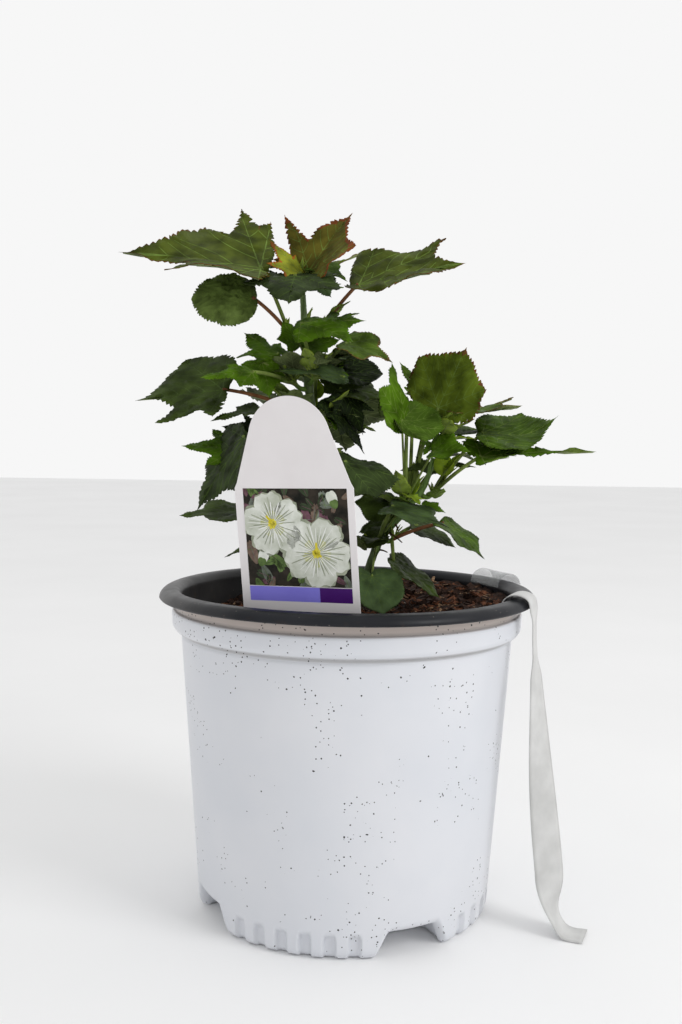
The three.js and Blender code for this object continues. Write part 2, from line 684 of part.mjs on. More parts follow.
const STRAP = { bearing: 339, width: 20, neck: 10, thick: 0.8, twist: -46 };

function strapLabel() {
  const away = towards(STRAP.bearing);
  const across = towards(STRAP.bearing + 90);
  const spot = (r, z, shift = 0) => at(0, 0, z).addScaledVector(away, r).addScaledVector(across, shift);
  const path = new THREE.CatmullRomCurve3([
    spot(103.8, 198), spot(105.2, 205), spot(112, 208.2), spot(119.8, 205.6), spot(121.8, 197),
    spot(122.5, 180), spot(125, 145), spot(129, 95), spot(134.5, 45), spot(139, 12), spot(146, 1.6),
    spot(158, 0.9),
  ], false, 'centripetal');
  const { smoothstep } = THREE.MathUtils;
  const widthAt = (share) => {
    const neck = smoothstep(share, 0.12, 0.16) - smoothstep(share, 0.24, 0.3);
    return STRAP.width + (STRAP.neck - STRAP.width) * neck;
  };
  const turn = (share) => STRAP.twist * smoothstep(share, 0.15, 0.75) * (1 - smoothstep(share, 0.8, 0.92));
  const sideAt = (share) => towards(STRAP.bearing + 90 + turn(share));
  return strip(path, STRAP.thick, widthAt, sideAt, 26, 1.6);
}

// Clear tab: a small plastic strip that loops over the rim at the back right

const TAB = { bearing: 25, width: 34, thick: 0.7 };

function clearTab() {
  const away = towards(TAB.bearing);
  const spot = (r, z) => at(0, 0, z).addScaledVector(away, r);
  const path = new THREE.CatmullRomCurve3([
    spot(103.1, 202), spot(104.7, 207), spot(109.5, 210.4), spot(114.5, 210.7), spot(119, 208.2),
    spot(121.5, 203.5),
  ]);
  return strip(path, TAB.thick, () => TAB.width, () => towards(TAB.bearing + 90), 10);
}

const WHITE = material(0xd4d9df, 0.38);
const BLACK = material(0x24272b, 0.42);
const BARK_MIX = material(0x3d241a, 0.95);
const OLD_STEM = material(0x4f5a2c, 0.6);
const YOUNG_STEM = material(0x6f8a3a, 0.55);
const CARD = material(0xe9e6e2, 0.45);
const STRAP_WHITE = material(0xdcdcda, 0.5);
const CLEAR_PLASTIC = material(0xc4cbcc, 0.15, { transparent: true, opacity: 0.45 });
const GREENS = [0x35561f, 0x3f6424, 0x2c4a26, 0x4b6a26];

addNode('pot', pot(), WHITE);
addNode('pot_rim', potRim(), BLACK);
addNode('soil', soil(label(CLEAR)), BARK_MIX);
addNode('main_stem', stem('main'), OLD_STEM);
addNode('right_stem', stem('right'), YOUNG_STEM);
MASSES.forEach((mass, i) => addNode(mass.name, foliage(mass), material(GREENS[i % GREENS.length], 0.55)));
addNode('picture_label', label(0), CARD);
addNode('strap_label', strapLabel(), STRAP_WHITE);
addNode('clear_tab', clearTab(), CLEAR_PLASTIC);

export default object;
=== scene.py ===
# %% [markdown]
# # A potted hibiscus, dressed for its portrait
# The solids that come with the part are plain and faceted. This lesson puts the real surfaces
# over them: a smooth moulded pot, a bed of bark chips, stems with bark, and leaves with teeth
# and veins. Every piece stays in the place and size of the solid that it stands for.

# %% Load the frame
import math

import bpy
import numpy as np
from mathutils import Matrix, Vector
from mathutils.geometry import delaunay_2d_cdt


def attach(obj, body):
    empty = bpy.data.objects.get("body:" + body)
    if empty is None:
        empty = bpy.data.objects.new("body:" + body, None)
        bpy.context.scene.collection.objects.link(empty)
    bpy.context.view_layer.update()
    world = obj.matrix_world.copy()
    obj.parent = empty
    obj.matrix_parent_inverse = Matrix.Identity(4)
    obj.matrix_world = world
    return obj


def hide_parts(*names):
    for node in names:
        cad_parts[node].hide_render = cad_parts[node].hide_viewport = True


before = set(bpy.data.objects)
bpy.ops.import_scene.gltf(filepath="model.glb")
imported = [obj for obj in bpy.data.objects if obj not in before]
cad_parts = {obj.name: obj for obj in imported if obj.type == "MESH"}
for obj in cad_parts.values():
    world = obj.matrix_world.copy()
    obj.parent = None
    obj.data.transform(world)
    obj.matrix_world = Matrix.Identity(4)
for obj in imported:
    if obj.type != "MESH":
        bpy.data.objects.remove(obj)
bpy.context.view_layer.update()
MM = 0.001


# %% [markdown]
# ## Camera
# The photograph was taken a little above the rim, from about 0.7 m, looking slightly down.
# The focal length was found by fitting the pot's round rim and foot, so it is a real lens length.

# %% Place the camera
CAMERA_PLACE = Vector((0.0, -0.720, 0.305))
CAMERA_DOWN = 4.10               # degrees below level
CAMERA_LEFT = 0.38               # degrees turned to the left, seen from above
CAMERA_ROLL = 0.84               # degrees, the picture's right side lower
CAMERA_LENS = 39.45              # millimetres, on a 36 mm long side

camera_data = bpy.data.cameras.new("camera")
camera_data.lens = CAMERA_LENS
camera_data.sensor_width = 36.0
camera = bpy.data.objects.new("camera", camera_data)
turn = Matrix.Rotation(math.radians(CAMERA_LEFT), 4, "Z")
tilt = Matrix.Rotation(math.radians(90 - CAMERA_DOWN), 4, "X")
roll = Matrix.Rotation(math.radians(CAMERA_ROLL), 4, "Z")
camera.matrix_world = Matrix.Translation(CAMERA_PLACE) @ turn @ tilt @ roll
bpy.context.scene.collection.objects.link(camera)
bpy.context.scene.camera = camera
print("camera at", tuple(CAMERA_PLACE), "lens", CAMERA_LENS)

# %% [markdown]
# ## Small helpers
# Most pieces here are built from arrays of points, because a leaf or a moulded wall follows a
# formula. Points are worked out in millimetres, as on a workshop drawing, and turned into
# metres once, when the mesh is made.


# %% Make meshes
def mesh_piece(name, points, faces, looks, slots=None, smooth=True):
    """A mesh object from points in millimetres and triangles or quads."""
    mesh = bpy.data.meshes.new(name)
    points = np.asarray(points, float) * MM
    faces = np.asarray(faces, np.int32)
    corners = faces.shape[1]
    mesh.vertices.add(len(points))
    mesh.vertices.foreach_set("co", points.ravel())
    mesh.loops.add(faces.size)
    mesh.loops.foreach_set("vertex_index", faces.ravel())
    mesh.polygons.add(len(faces))
    mesh.polygons.foreach_set("loop_start", np.arange(len(faces), dtype=np.int32) * corners)
    for look in looks:
        mesh.materials.append(look)
    if slots is not None:
        mesh.polygons.foreach_set("material_index", np.asarray(slots, np.int32))
    mesh.polygons.foreach_set("use_smooth", np.full(len(faces), smooth))
    mesh.update(calc_edges=True)
    mesh.validate()
    piece = bpy.data.objects.new(name, mesh)
    bpy.context.scene.collection.objects.link(piece)
    return piece


def grid_faces(rows, columns, wrap=True):
    """Quads of a grid whose rows run outwards and whose columns go round."""
    across = columns if wrap else columns - 1
    row, column = np.meshgrid(np.arange(rows - 1), np.arange(across), indexing="ij")
    here = row * columns + column
    beside = row * columns + (column + 1) % columns
    return np.stack([here, beside, beside + columns, here + columns], -1).reshape(-1, 4)


def finished(piece, slot, *nodes):
    """Hide the solids that a piece stands for, and let it ride on the part's one body."""
    if nodes:
        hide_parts(*nodes)
    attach(piece, "root")
    count = sum(len(p.vertices) - 2 for p in piece.data.polygons)
    print(f"{piece.name}: {count} triangles")


print("a grid of 3 rings with 4 points each has", len(grid_faces(3, 4)), "faces")


# %% [markdown]
# ## Helpers for materials
# A material here is a small tree of nodes round one Principled shader. Patterns are read from
# the Object coordinates, which are metres on a piece that sits at the origin, so a scale of 100
# means a feature about a centimetre wide.


# %% Nodes and looks
def feed(tree, socket, value):
    """Give an input a plain value, or link it from another node's output."""
    if isinstance(value, bpy.types.NodeSocket):
        tree.links.new(value, socket)
    else:
        socket.default_value = value


def add(tree, kind, settings=None, **inputs):
    """A node with its settings, and its inputs by name as values or as outputs of other nodes."""
    node = tree.nodes.new(kind)
    for key, value in (settings or {}).items():
        setattr(node, key, value)
    for key, value in inputs.items():
        wanted = key.replace("_", " ").lower()
        feed(tree, next(s for s in node.inputs if s.name.lower() == wanted and s.enabled), value)
    return node


def new_look(name, color, roughness, **shader_inputs):
    """A material with a plain Principled shader, ready for patterns."""
    look = bpy.data.materials.new(name)
    look.use_nodes = True
    shader = look.node_tree.nodes["Principled BSDF"]
    shader.inputs["Base Color"].default_value = (*color, 1.0)
    shader.inputs["Roughness"].default_value = roughness
    for key, value in shader_inputs.items():
        shader.inputs[key.replace("_", " ")].default_value = value
    look.diffuse_color = (*color, 1.0)
    return look, look.node_tree, shader


print("materials so far:", len(bpy.data.materials))

# %% [markdown]
# ## Patterns
# Dust, stains and the drift of a colour are patterns of noise, dots and heights, laid over each
# other. Painted images could show the same, but a pattern has no pixels, needs no seams and can
# be tuned with one number.


# %% Patterns and mixes
def place_of(tree):
    return add(tree, "ShaderNodeTexCoord").outputs["Object"]


def noise(tree, place, scale, detail=3.0, roughness=0.5):
    node = add(tree, "ShaderNodeTexNoise", Vector=place, Scale=scale, Detail=detail, Roughness=roughness)
    return node.outputs["Fac"]


def ramp(tree, fac, *stops):
    """A colour ramp from (position, colour) stops."""
    node = add(tree, "ShaderNodeValToRGB", Fac=fac)
    node.color_ramp.elements.remove(node.color_ramp.elements[0])
    for i, (position, color) in enumerate(stops):
        element = node.color_ramp.elements[0] if i == 0 else node.color_ramp.elements.new(position)
        element.position = position
        element.color = (*color, 1.0)
    return node.outputs["Color"]


def math_of(tree, operation, a, b, kind="ShaderNodeMath"):
    node = add(tree, kind, {"operation": operation})
    feed(tree, node.inputs[0], a)
    feed(tree, node.inputs[1], b)
    return node.outputs[0]


def vector_of(tree, operation, a, b):
    return math_of(tree, operation, a, b, "ShaderNodeVectorMath")


def axis_of(tree, place, axis):
    return add(tree, "ShaderNodeSeparateXYZ", Vector=place).outputs[axis]


def fade(tree, value, low, high, bottom=0.0, top=1.0):
    """A value stretched so that low becomes bottom and high becomes top, and held there beyond."""
    ends = {"From_Min": low, "From_Max": high, "To_Min": bottom, "To_Max": top}
    return add(tree, "ShaderNodeMapRange", Value=value, **ends).outputs["Result"]


def mixed(tree, fac, a, b, blend="MIX"):
    """One colour laid over another."""
    node = add(tree, "ShaderNodeMix", {"data_type": "RGBA", "blend_type": blend})
    for name, value in (("Factor_Float", fac), ("A_Color", a), ("B_Color", b)):
        socket = next(s for s in node.inputs if s.identifier == name)
        feed(tree, socket, (*value, 1.0) if isinstance(value, tuple) else value)
    return next(s for s in node.outputs if s.identifier == "Result_Color")


def bump(tree, shader, height, strength, distance):
    node = add(tree, "ShaderNodeBump", Height=height, Strength=strength, Distance=distance)
    tree.links.new(node.outputs["Normal"], shader.inputs["Normal"])


def roughen(tree, shader, pattern, low, high):
    """Let the roughness drift with a pattern, from low to high."""
    tree.links.new(fade(tree, pattern, 0.0, 1.0, low, high), shader.inputs["Roughness"])


def clouded_look(name, color, roughness, stops, pattern, bumps=None, **shader_inputs):
    """A material whose colour drifts with noise between two (position, colour) stops.

    The pattern is (scale, detail, roughness), and bumps are (pattern, strength, distance).
    """
    look, tree, shader = new_look(name, color, roughness, **shader_inputs)
    place = place_of(tree)
    tree.links.new(ramp(tree, noise(tree, place, *pattern), *stops), shader.inputs["Base Color"])
    if bumps:
        bump_pattern, strength, distance = bumps
        bump(tree, shader, noise(tree, place, *bump_pattern), strength, distance)
    return look


def specks(tree, place, scale, radius, share, shift, ragged=0.0):
    """Scattered dots: cells of a Voronoi pattern, of which only a share holds a dot."""
    moved = vector_of(tree, "ADD", place, (shift, shift * 1.7, shift * 0.6))
    cell = add(tree, "ShaderNodeTexVoronoi", {"feature": "F1"}, Vector=moved, Scale=scale)
    near = math_of(tree, "LESS_THAN", math_of(tree, "ADD", cell.outputs["Distance"], ragged), radius)
    parts = add(tree, "ShaderNodeSeparateColor", Color=cell.outputs["Color"])
    chosen = math_of(tree, "LESS_THAN", parts.outputs["Red"], share)
    return math_of(tree, "MULTIPLY", near, chosen)


print("pattern helpers:", [helper.__name__ for helper in (noise, ramp, fade, mixed, specks)])

# %% [markdown]
# ## Light
# The photograph has a bright, even light. A pale world gives most of it, brighter behind the
# plant and dimmer on the near side, so that the leaves read dark against it. Lamps alone would
# throw many shadows, so there is only one, large and soft, from the upper right.

# %% Light the scene
FAR_LIGHT = 0.93                 # world brightness behind the plant
NEAR_LIGHT = 0.72                # world brightness on the camera's side
LAMP_PLACE = Vector((1.6, -1.1, 1.4))
LAMP_AIM = Vector((0, 0, 0.2))
LAMP_SIZE = 0.9                  # metres across
LAMP_POWER = 16                  # watts

world = bpy.data.worlds.new("pale room")
bpy.context.scene.world = world
world.use_nodes = True
sky = world.node_tree
sky_place = add(sky, "ShaderNodeTexCoord").outputs["Generated"]
sky_light = fade(sky, axis_of(sky, sky_place, "Y"), -0.5, 0.6, NEAR_LIGHT, FAR_LIGHT)
sky.nodes["Background"].inputs["Color"].default_value = (1.0, 1.0, 1.0, 1.0)
sky.links.new(sky_light, sky.nodes["Background"].inputs["Strength"])

lamp_data = bpy.data.lights.new("window", "AREA")
lamp_data.energy = LAMP_POWER
lamp_data.size = LAMP_SIZE
lamp = bpy.data.objects.new("window", lamp_data)
lamp.location = LAMP_PLACE
lamp.rotation_euler = (LAMP_AIM - LAMP_PLACE).to_track_quat("-Z", "Y").to_euler()
bpy.context.scene.collection.objects.link(lamp)
bpy.context.scene.view_settings.view_transform = "Standard"

# %% [markdown]
# ## Floor
# The pot needs ground that catches its shadow. The floor isn't part of the object. One flat quad
# is enough: its far edge is only a faint line behind the plant.

# %% Lay the floor
FLOOR_HALF = 6000                # millimetres
FLOOR_PALE = (0.93, 0.93, 0.93)
FLOOR_STOPS = ((0.3, (0.92, 0.92, 0.92)), (0.7, (0.95, 0.95, 0.95)))

floor_look = clouded_look("floor_pale", FLOOR_PALE, 0.8, FLOOR_STOPS, (3.0,), Specular_IOR_Level=0.1)
floor_corners = [(x * FLOOR_HALF, y * FLOOR_HALF, 0) for x, y in ((-1, -1), (1, -1), (1, 1), (-1, 1))]
floor = mesh_piece("floor", floor_corners, [(0, 1, 2, 3)], [floor_look], smooth=False)
print("floor:", 2 * FLOOR_HALF, "mm wide")

# %% [markdown]
# ## White plastic
# The pot is blown from two layers of plastic: a pale bluish white skin and a black lining.
# Handling has left fine black dust on the white, more of it low down and under the rim, and a
# brownish film in the recess below the rim. The dust is a set of Voronoi dots in four sizes,
# because one size looks like a print. Heights in these patterns are in metres.

# %% White wall
POT_WHITE = (0.70, 0.715, 0.755)
WHITE_STOPS = ((0.3, (0.67, 0.69, 0.735)), (0.7, (0.73, 0.74, 0.775)))
BROWN_FILM = (0.56, 0.46, 0.40)
SHADE_AND_GRIME = (0.30, 0.285, 0.27)
DUST = (0.022, 0.020, 0.020)
RECESS = (0.1915, 0.1932)        # heights where the brownish film begins, and where it is full
CREASE_EDGE = 0.0012             # height over which a line of painted shade and grime fades
SHADED_CREASES = (
    # bottom, top, strength of a line of painted shade and grime
    (0.1762, 0.1795, 0.55),
    (0.1922, 0.1934, 0.45),
)
SPECKS = (
    # scale of the cells, dot radius in a cell, share of cells, shift, least dustiness
    (420.0, 0.17, 0.42, 0.0, 0.55),
    (300.0, 0.15, 0.36, 3.1, 0.55),
    (170.0, 0.11, 0.16, 7.7, 0.53),
    (230.0, 0.12, 0.07, 5.3, 0.0),
)


def pot_wall_look():
    look, tree, shader = new_look("pot_white_plastic", POT_WHITE, 0.36, Specular_IOR_Level=0.45)
    place = place_of(tree)
    height, side = axis_of(tree, place, "Z"), axis_of(tree, place, "X")
    cloud = ramp(tree, noise(tree, place, 14.0, 4.0), *WHITE_STOPS)
    film = math_of(tree, "MULTIPLY", fade(tree, height, *RECESS), 0.8)
    color = mixed(tree, film, cloud, BROWN_FILM)
    # Painted shade with some grime: dark lines in the crease under the collar and at the edge of the recess.
    for low, high, strength in SHADED_CREASES:
        begun = fade(tree, height, low, low + CREASE_EDGE)
        ended = fade(tree, height, high, high + CREASE_EDGE)
        line = math_of(tree, "SUBTRACT", begun, ended)
        color = mixed(tree, math_of(tree, "MULTIPLY", line, strength), color, SHADE_AND_GRIME)
    low_down = fade(tree, height, 0.055, 0.0)
    under_rim = fade(tree, height, 0.145, 0.19)
    on_the_left = fade(tree, side, 0.0, -0.10, 1.0, 2.2)
    spread = math_of(tree, "ADD", low_down, math_of(tree, "MULTIPLY", under_rim, on_the_left))
    dusty = math_of(tree, "ADD", noise(tree, place, 32.0, 4.0), math_of(tree, "MULTIPLY", spread, 0.06))
    ragged = math_of(tree, "SUBTRACT", noise(tree, place, 900.0, 2.0), 0.5)
    ragged = math_of(tree, "MULTIPLY", ragged, 0.25)
    for scale, radius, share, shift, least in SPECKS:
        dots = specks(tree, place, scale, radius, share, shift, ragged)
        where = math_of(tree, "GREATER_THAN", dusty, least)
        color = mixed(tree, math_of(tree, "MULTIPLY", dots, where), color, DUST)
    tree.links.new(color, shader.inputs["Base Color"])
    roughen(tree, shader, noise(tree, place, 60.0), 0.30, 0.44)
    bump(tree, shader, noise(tree, place, 45.0, 2.0), 0.25, 0.0006)
    return look


pot_wall_finish = pot_wall_look()
print("finish of the wall:", pot_wall_finish.name)

# %% [markdown]
# ## Black plastic
# The lining is a soft black. Handling has worn its left side grey, and soil sticks to its
# inside. Each kind of dirt is held to the heights and the side where hands and water bring it,
# which one pattern all over wouldn't do.

# %% Black lining
RIM_BLACK = (0.012, 0.013, 0.017)
RIM_STOPS = ((0.3, (0.007, 0.008, 0.011)), (0.75, (0.018, 0.019, 0.023)))
SOIL_STAIN = (0.050, 0.030, 0.020)
PALE_DUST = (0.20, 0.18, 0.16)
WORN_GREY = (0.13, 0.125, 0.12)


def rim_look():
    look, tree, shader = new_look("rim_black_plastic", RIM_BLACK, 0.36, Specular_IOR_Level=0.22)
    place = place_of(tree)
    color = ramp(tree, noise(tree, place, 30.0, 5.0), *RIM_STOPS)
    inside = fade(tree, axis_of(tree, place, "Z"), 0.203, 0.194)
    patches = math_of(tree, "GREATER_THAN", noise(tree, place, 180.0, 5.0), 0.62)
    dirt = math_of(tree, "MULTIPLY", inside, patches)
    color = mixed(tree, math_of(tree, "MULTIPLY", dirt, 0.6), color, SOIL_STAIN)
    dots = specks(tree, place, 420.0, 0.16, 0.10, 1.3)
    color = mixed(tree, math_of(tree, "MULTIPLY", dots, 0.5), color, PALE_DUST)
    handled = fade(tree, axis_of(tree, place, "X"), -0.06, -0.12)
    worn = math_of(tree, "MULTIPLY", handled, noise(tree, place, 50.0, 4.0))
    tree.links.new(mixed(tree, worn, color, WORN_GREY), shader.inputs["Base Color"])
    roughen(tree, shader, noise(tree, place, 90.0, 4.0), 0.26, 0.52)
    bump(tree, shader, noise(tree, place, 240.0, 3.0), 0.3, 0.0003)
    return look


rim_finish = rim_look()
print("finish of the lining:", rim_finish.name)

# %% [markdown]
# ## Pot
# The wall is a surface of revolution, so one profile of radius and height makes most of it. Two
# things break the round: four low arches between the feet, and short flutes round the foot.
# Both are worked in as smooth functions of the angle, so their edges come out softly moulded,
# where a cut would leave them sharp.

# %% Profile of the pot
BASE_RADIUS = 93.9
BASE_HEIGHT = 8                  # height at which the wall has that radius
WALL_SLOPE = 0.0715
FOOT_ROUND = 6.0
WALL_TOP = 199.7
ARCH_FIRST = -63.0               # degrees round from the front
ARCH_HEIGHT = 15.0
ARCH_LOW = 24.5                  # half width at the ground
ARCH_HIGH = 17.5                 # half width at the top
ARCH_INNER = 62.0                # radius where the channel under the floor ends
FLUTES = 6                       # on each foot
FLUTE_SPACING = 9.0
FLUTE_DEPTH = 3.0
FLUTE_HALF = 4.1
FLUTE_FULL = 0.74                # share of its half width where a flute is at its full depth
FLUTE_TOP = 16.0
AROUND = 720


def wall_radius(z):
    return BASE_RADIUS + WALL_SLOPE * (z - BASE_HEIGHT)


def smooth_step(value, low, high):
    share = np.clip((value - low) / (high - low), 0, 1)
    return share * share * (3 - 2 * share)


def rounded(points, radius, steps=4):
    """A profile with each inner corner replaced by a small arc."""
    points = [np.array(p, float) for p in points]
    result = [points[0]]
    for before, corner, after in zip(points, points[1:], points[2:]):
        back, on = before - corner, after - corner
        reach = min(radius, 0.45 * np.linalg.norm(back), 0.45 * np.linalg.norm(on))
        start = corner + back / np.linalg.norm(back) * reach
        end = corner + on / np.linalg.norm(on) * reach
        for i in range(steps + 1):
            t = i / steps
            result.append((1 - t) ** 2 * start + 2 * t * (1 - t) * corner + t * t * end)
    return np.array(result + [points[-1]])


def arch_height(angle, radius):
    """Height of the pot's underside at an angle and radius: the channels between the feet."""
    height = np.zeros(np.broadcast(angle, radius).shape)
    for quarter in range(4):
        turned = angle - math.radians(ARCH_FIRST + 90 * quarter)
        aside = np.abs(radius * np.sin(turned))
        ahead = radius * np.cos(turned)
        across = smooth_step(aside, ARCH_LOW + 0.5, ARCH_HIGH - 2.5)
        inwards = smooth_step(ahead, ARCH_INNER, ARCH_INNER + 4)
        height = np.maximum(height, ARCH_HEIGHT * np.where(ahead > 0, across * inwards, 0))
    return height


def flute_depth(angle, z):
    """How deep the flutes cut into the foot."""
    depth = np.zeros(np.broadcast(angle, z).shape)
    for quarter in range(4):
        for i in range(FLUTES):
            middle = ARCH_FIRST + 45 + 90 * quarter + FLUTE_SPACING * (i - (FLUTES - 1) / 2)
            turned = (angle - math.radians(middle) + math.pi) % (2 * math.pi) - math.pi
            aside = turned * BASE_RADIUS / FLUTE_HALF
            above = np.maximum(0, (z - (FLUTE_TOP - FLUTE_HALF)) / FLUTE_HALF)
            away = np.sqrt(aside ** 2 + above ** 2)
            this_side = np.abs(turned) < 0.2
            depth = np.maximum(depth, FLUTE_DEPTH * smooth_step(away, 1.0, FLUTE_FULL) * this_side)
    return depth


print("wall radius at the ground and the top:", wall_radius(0), wall_radius(WALL_TOP))

# %% [markdown]
# ## Skin of the pot
# The real pot leaves its mould as one thin shell. Cutting the arches out of a turned shape would
# give them hard edges, so the rows of one grid bend round them, from the middle of the
# underside up to the collar and down to a closed inside.

# %% Build the pot
UNDERSIDE = (0.5, 30, 50, 58, 60, 61.5, 63, 64.5, 66.5, 70, 75, 80, 84)
FOOT_STEPS = 8                   # rows round the edge of the foot
STRAIGHT_FROM = 32               # height above which the wall is a plain turned shape
STRAIGHT = (60, 90, 115)
COLLAR = [
    (wall_radius(140), 140), (wall_radius(175.2), 175.2), (105.1, 176.9), (105.3, 178.3), (109.6, 179.4),
    (111.6, 182.6), (111.9, 190.9), (111.3, 192.2), (109.5, 192.7), (109.4, WALL_TOP), (106.5, WALL_TOP),
    (106.5, 188.0),
]
INSIDE = [(90, 22), (40, 22), (0.5, 22)]


def pot_points():
    angle = (np.arange(AROUND) / AROUND * 2 * math.pi)[None, :]
    rows = [(np.full_like(angle, radius), arch_height(angle, radius)) for radius in UNDERSIDE]
    lowest = arch_height(angle, BASE_RADIUS - 1.0)
    for i in range(FOOT_STEPS + 1):
        around = math.radians(-90 + 90 * i / FOOT_STEPS)
        z = lowest + FOOT_ROUND * (1 + math.sin(around))
        radius = wall_radius(z) - FOOT_ROUND * (1 - math.cos(around))
        rows.append((radius - flute_depth(angle, z) * (0.6 + 0.4 * i / FOOT_STEPS), z))
    start = lowest + FOOT_ROUND
    for share in (*np.linspace(0.05, 0.95, 12), 1.0):
        z = start + (STRAIGHT_FROM - start) * share
        rows.append((wall_radius(z) - flute_depth(angle, z), z))
    turned = [(wall_radius(z), z) for z in STRAIGHT] + rounded(COLLAR, 1.2).tolist() + INSIDE
    rows += [(np.full_like(angle, radius), np.full_like(angle, z)) for radius, z in turned]
    radius, z = (np.concatenate(values) for values in zip(*rows))
    front = angle - math.pi / 2
    return np.stack([radius * np.cos(front), radius * np.sin(front), z], -1)


pot_grid = pot_points()
pot_faces = grid_faces(len(pot_grid), AROUND)
pot_skin = mesh_piece("pot_wall", pot_grid.reshape(-1, 3), pot_faces, [pot_wall_finish])
finished(pot_skin, "pot_plastic", "pot")

# %% [markdown]
# ## Rim
# The black lining shows as the roll at the top and as the dark band above the soil, with one
# ledge where the pot steps out. It is a plain turned shape, but a real rolled rim is never a
# perfect circle, so its height and radius wander by a fraction of a millimetre.

# %% Turn the rim
RIM_RADIUS = 120.0
RIM_AROUND = 300
WALL_THICK = 2.4
LINING_CLEAR = 0.3               # between the lining and the wall
LEDGE = 177                      # height where the pot steps out
LIP = (113.0, 200.2)             # where the lining turns out over the wall
HOLLOW = [LIP, (116.6, 200.7), (117.4, 199.7), (119.0, 199.4), (119.9, 200.6)]
INNER_SIDE = [(105.7, 200.0), (105.5, 182.6), (104.6, 180.6), (101.4, 178.0), (100.6, 176.0), (99.0, 150)]


def arc(r, z, radius, start, end, steps):
    turns = [math.radians(start + (end - start) * i / steps) for i in range(steps + 1)]
    return [(r + radius * math.cos(a), z + radius * math.sin(a)) for a in turns]


def rim_points():
    lining = wall_radius(LEDGE) - WALL_THICK - LINING_CLEAR
    collar = lining + 4.1
    outline = [(lining - 1.9, 150), (lining, LEDGE), (collar, 181.5), (collar, 200.1), LIP]
    outline += rounded(HOLLOW, 0.9)[1:].tolist()
    outline += arc(RIM_RADIUS - 6, 199.6, 6, 14, 90, 12)
    outline += [(111.4, 205.95)] + arc(111.2, 200.3, 5.6, 96, 172, 8)
    outline += rounded(INNER_SIDE, 1.0).tolist()
    radius, height = np.hsplit(np.array(outline), 2)
    angle = (np.arange(RIM_AROUND) / RIM_AROUND * 2 * math.pi)[None, :]
    wander = 0.22 * np.sin(2 * angle + 0.6) + 0.14 * np.sin(5 * angle + 2.0)
    out = radius + wander * smooth_step(height, 178, 200)
    up = height + 0.3 * np.sin(3 * angle + 1.0) * smooth_step(height, 192, 204) - 0.3
    return np.stack([out * np.cos(angle), out * np.sin(angle), up], -1)


rim_grid = rim_points()
last_row = (len(rim_grid) - 1) * RIM_AROUND
here = np.arange(RIM_AROUND)
beside = (here + 1) % RIM_AROUND
rim_close = np.stack([last_row + here, last_row + beside, beside, here], -1)
rim_faces = np.concatenate([grid_faces(len(rim_grid), RIM_AROUND), rim_close])
rim_skin = mesh_piece("rolled_rim", rim_grid.reshape(-1, 3), rim_faces, [rim_finish])
finished(rim_skin, "rim_plastic", "pot_rim")

# %% [markdown]
# ## Soil
# Nursery mix is chopped bark, banked up at the back right. Its bed could be a flat disc with a
# bump pattern, but real bumps break its line against the rim, so its height is a sum of waves.
# It stays level round the crown, where the stems stand.

# %% Bed of the mix
SOIL_LEVEL = 188.0
SOIL_SLOPE = 0.11
SOIL_BEARING = math.radians(35)
CROWN_FLAT = 17.0


def soil_height(x, y):
    ramp_up = np.clip((np.hypot(x, y) - CROWN_FLAT) / 20, 0, 1)
    lumps = 0.9 * np.sin(x * 0.13 + 1) * np.cos(y * 0.11) + 0.6 * np.sin(x * 0.05 - y * 0.19)
    bank = SOIL_SLOPE * (x * math.cos(SOIL_BEARING) + y * math.sin(SOIL_BEARING))
    return SOIL_LEVEL + ramp_up * (bank + lumps)


def crumbs(x, y, dice):
    """Fine bumps: a sum of waves in random directions."""
    total = np.zeros_like(x)
    for _ in range(26):
        turn, phase = dice.uniform(0, 2 * math.pi, 2)
        length = 4.0 + 18.0 * dice.random()
        along = x * math.cos(turn) + y * math.sin(turn)
        total += 0.075 * math.sqrt(length) * np.sin(along * 2 * math.pi / length + phase)
    return total


def soil_look(name, dark, light):
    stops, bumps = ((0.38, dark), (0.66, light)), ((650.0, 5.0, 0.7), 0.9, 0.0012)
    return clouded_look(name, dark, 0.92, stops, (420.0, 6.0, 0.65), bumps, Specular_IOR_Level=0.25)


def soil_reach(angle):
    """Radius of the bed: smaller where it lies below the ledge inside the rim."""
    height = soil_height(104 * np.cos(angle), 104 * np.sin(angle))
    return np.where(height < 180.5, 101.2, 105.0)


SOIL_RINGS = 70
SOIL_AROUND = 240
soil_angle = (np.arange(SOIL_AROUND) / SOIL_AROUND * 2 * math.pi)[None, :]
soil_radius = soil_reach(soil_angle) * np.linspace(0.003, 1, SOIL_RINGS)[:, None]
soil_x, soil_y = soil_radius * np.cos(soil_angle), soil_radius * np.sin(soil_angle)
fine = crumbs(soil_x, soil_y, np.random.default_rng(41))
away_from_crown = smooth_step(np.hypot(soil_x, soil_y), 6, 20)
soil_z = soil_height(soil_x, soil_y) + fine * away_from_crown
bed_finish = soil_look("bark_bed", (0.007, 0.003, 0.002), (0.060, 0.024, 0.012))
bed_points = np.stack([soil_x, soil_y, soil_z], -1).reshape(-1, 3)
skirt = bed_points[-SOIL_AROUND:] * [0.985, 0.985, 1] - [0, 0, 30]
bed_faces = grid_faces(SOIL_RINGS + 1, SOIL_AROUND)
bed = mesh_piece("bark_bed", np.concatenate([bed_points, skirt]), bed_faces, [bed_finish])
finished(bed, "bark_mix", "soil")


# %% [markdown]
# ## Helpers for Geometry Nodes
# What repeats or follows a path is grown by a geometry tree: chips on the bed, bark on a stem.
# A tree gets named inputs and runs once on a small carrier. Its result is kept as a plain mesh,
# because the exported model can't hold a live modifier.


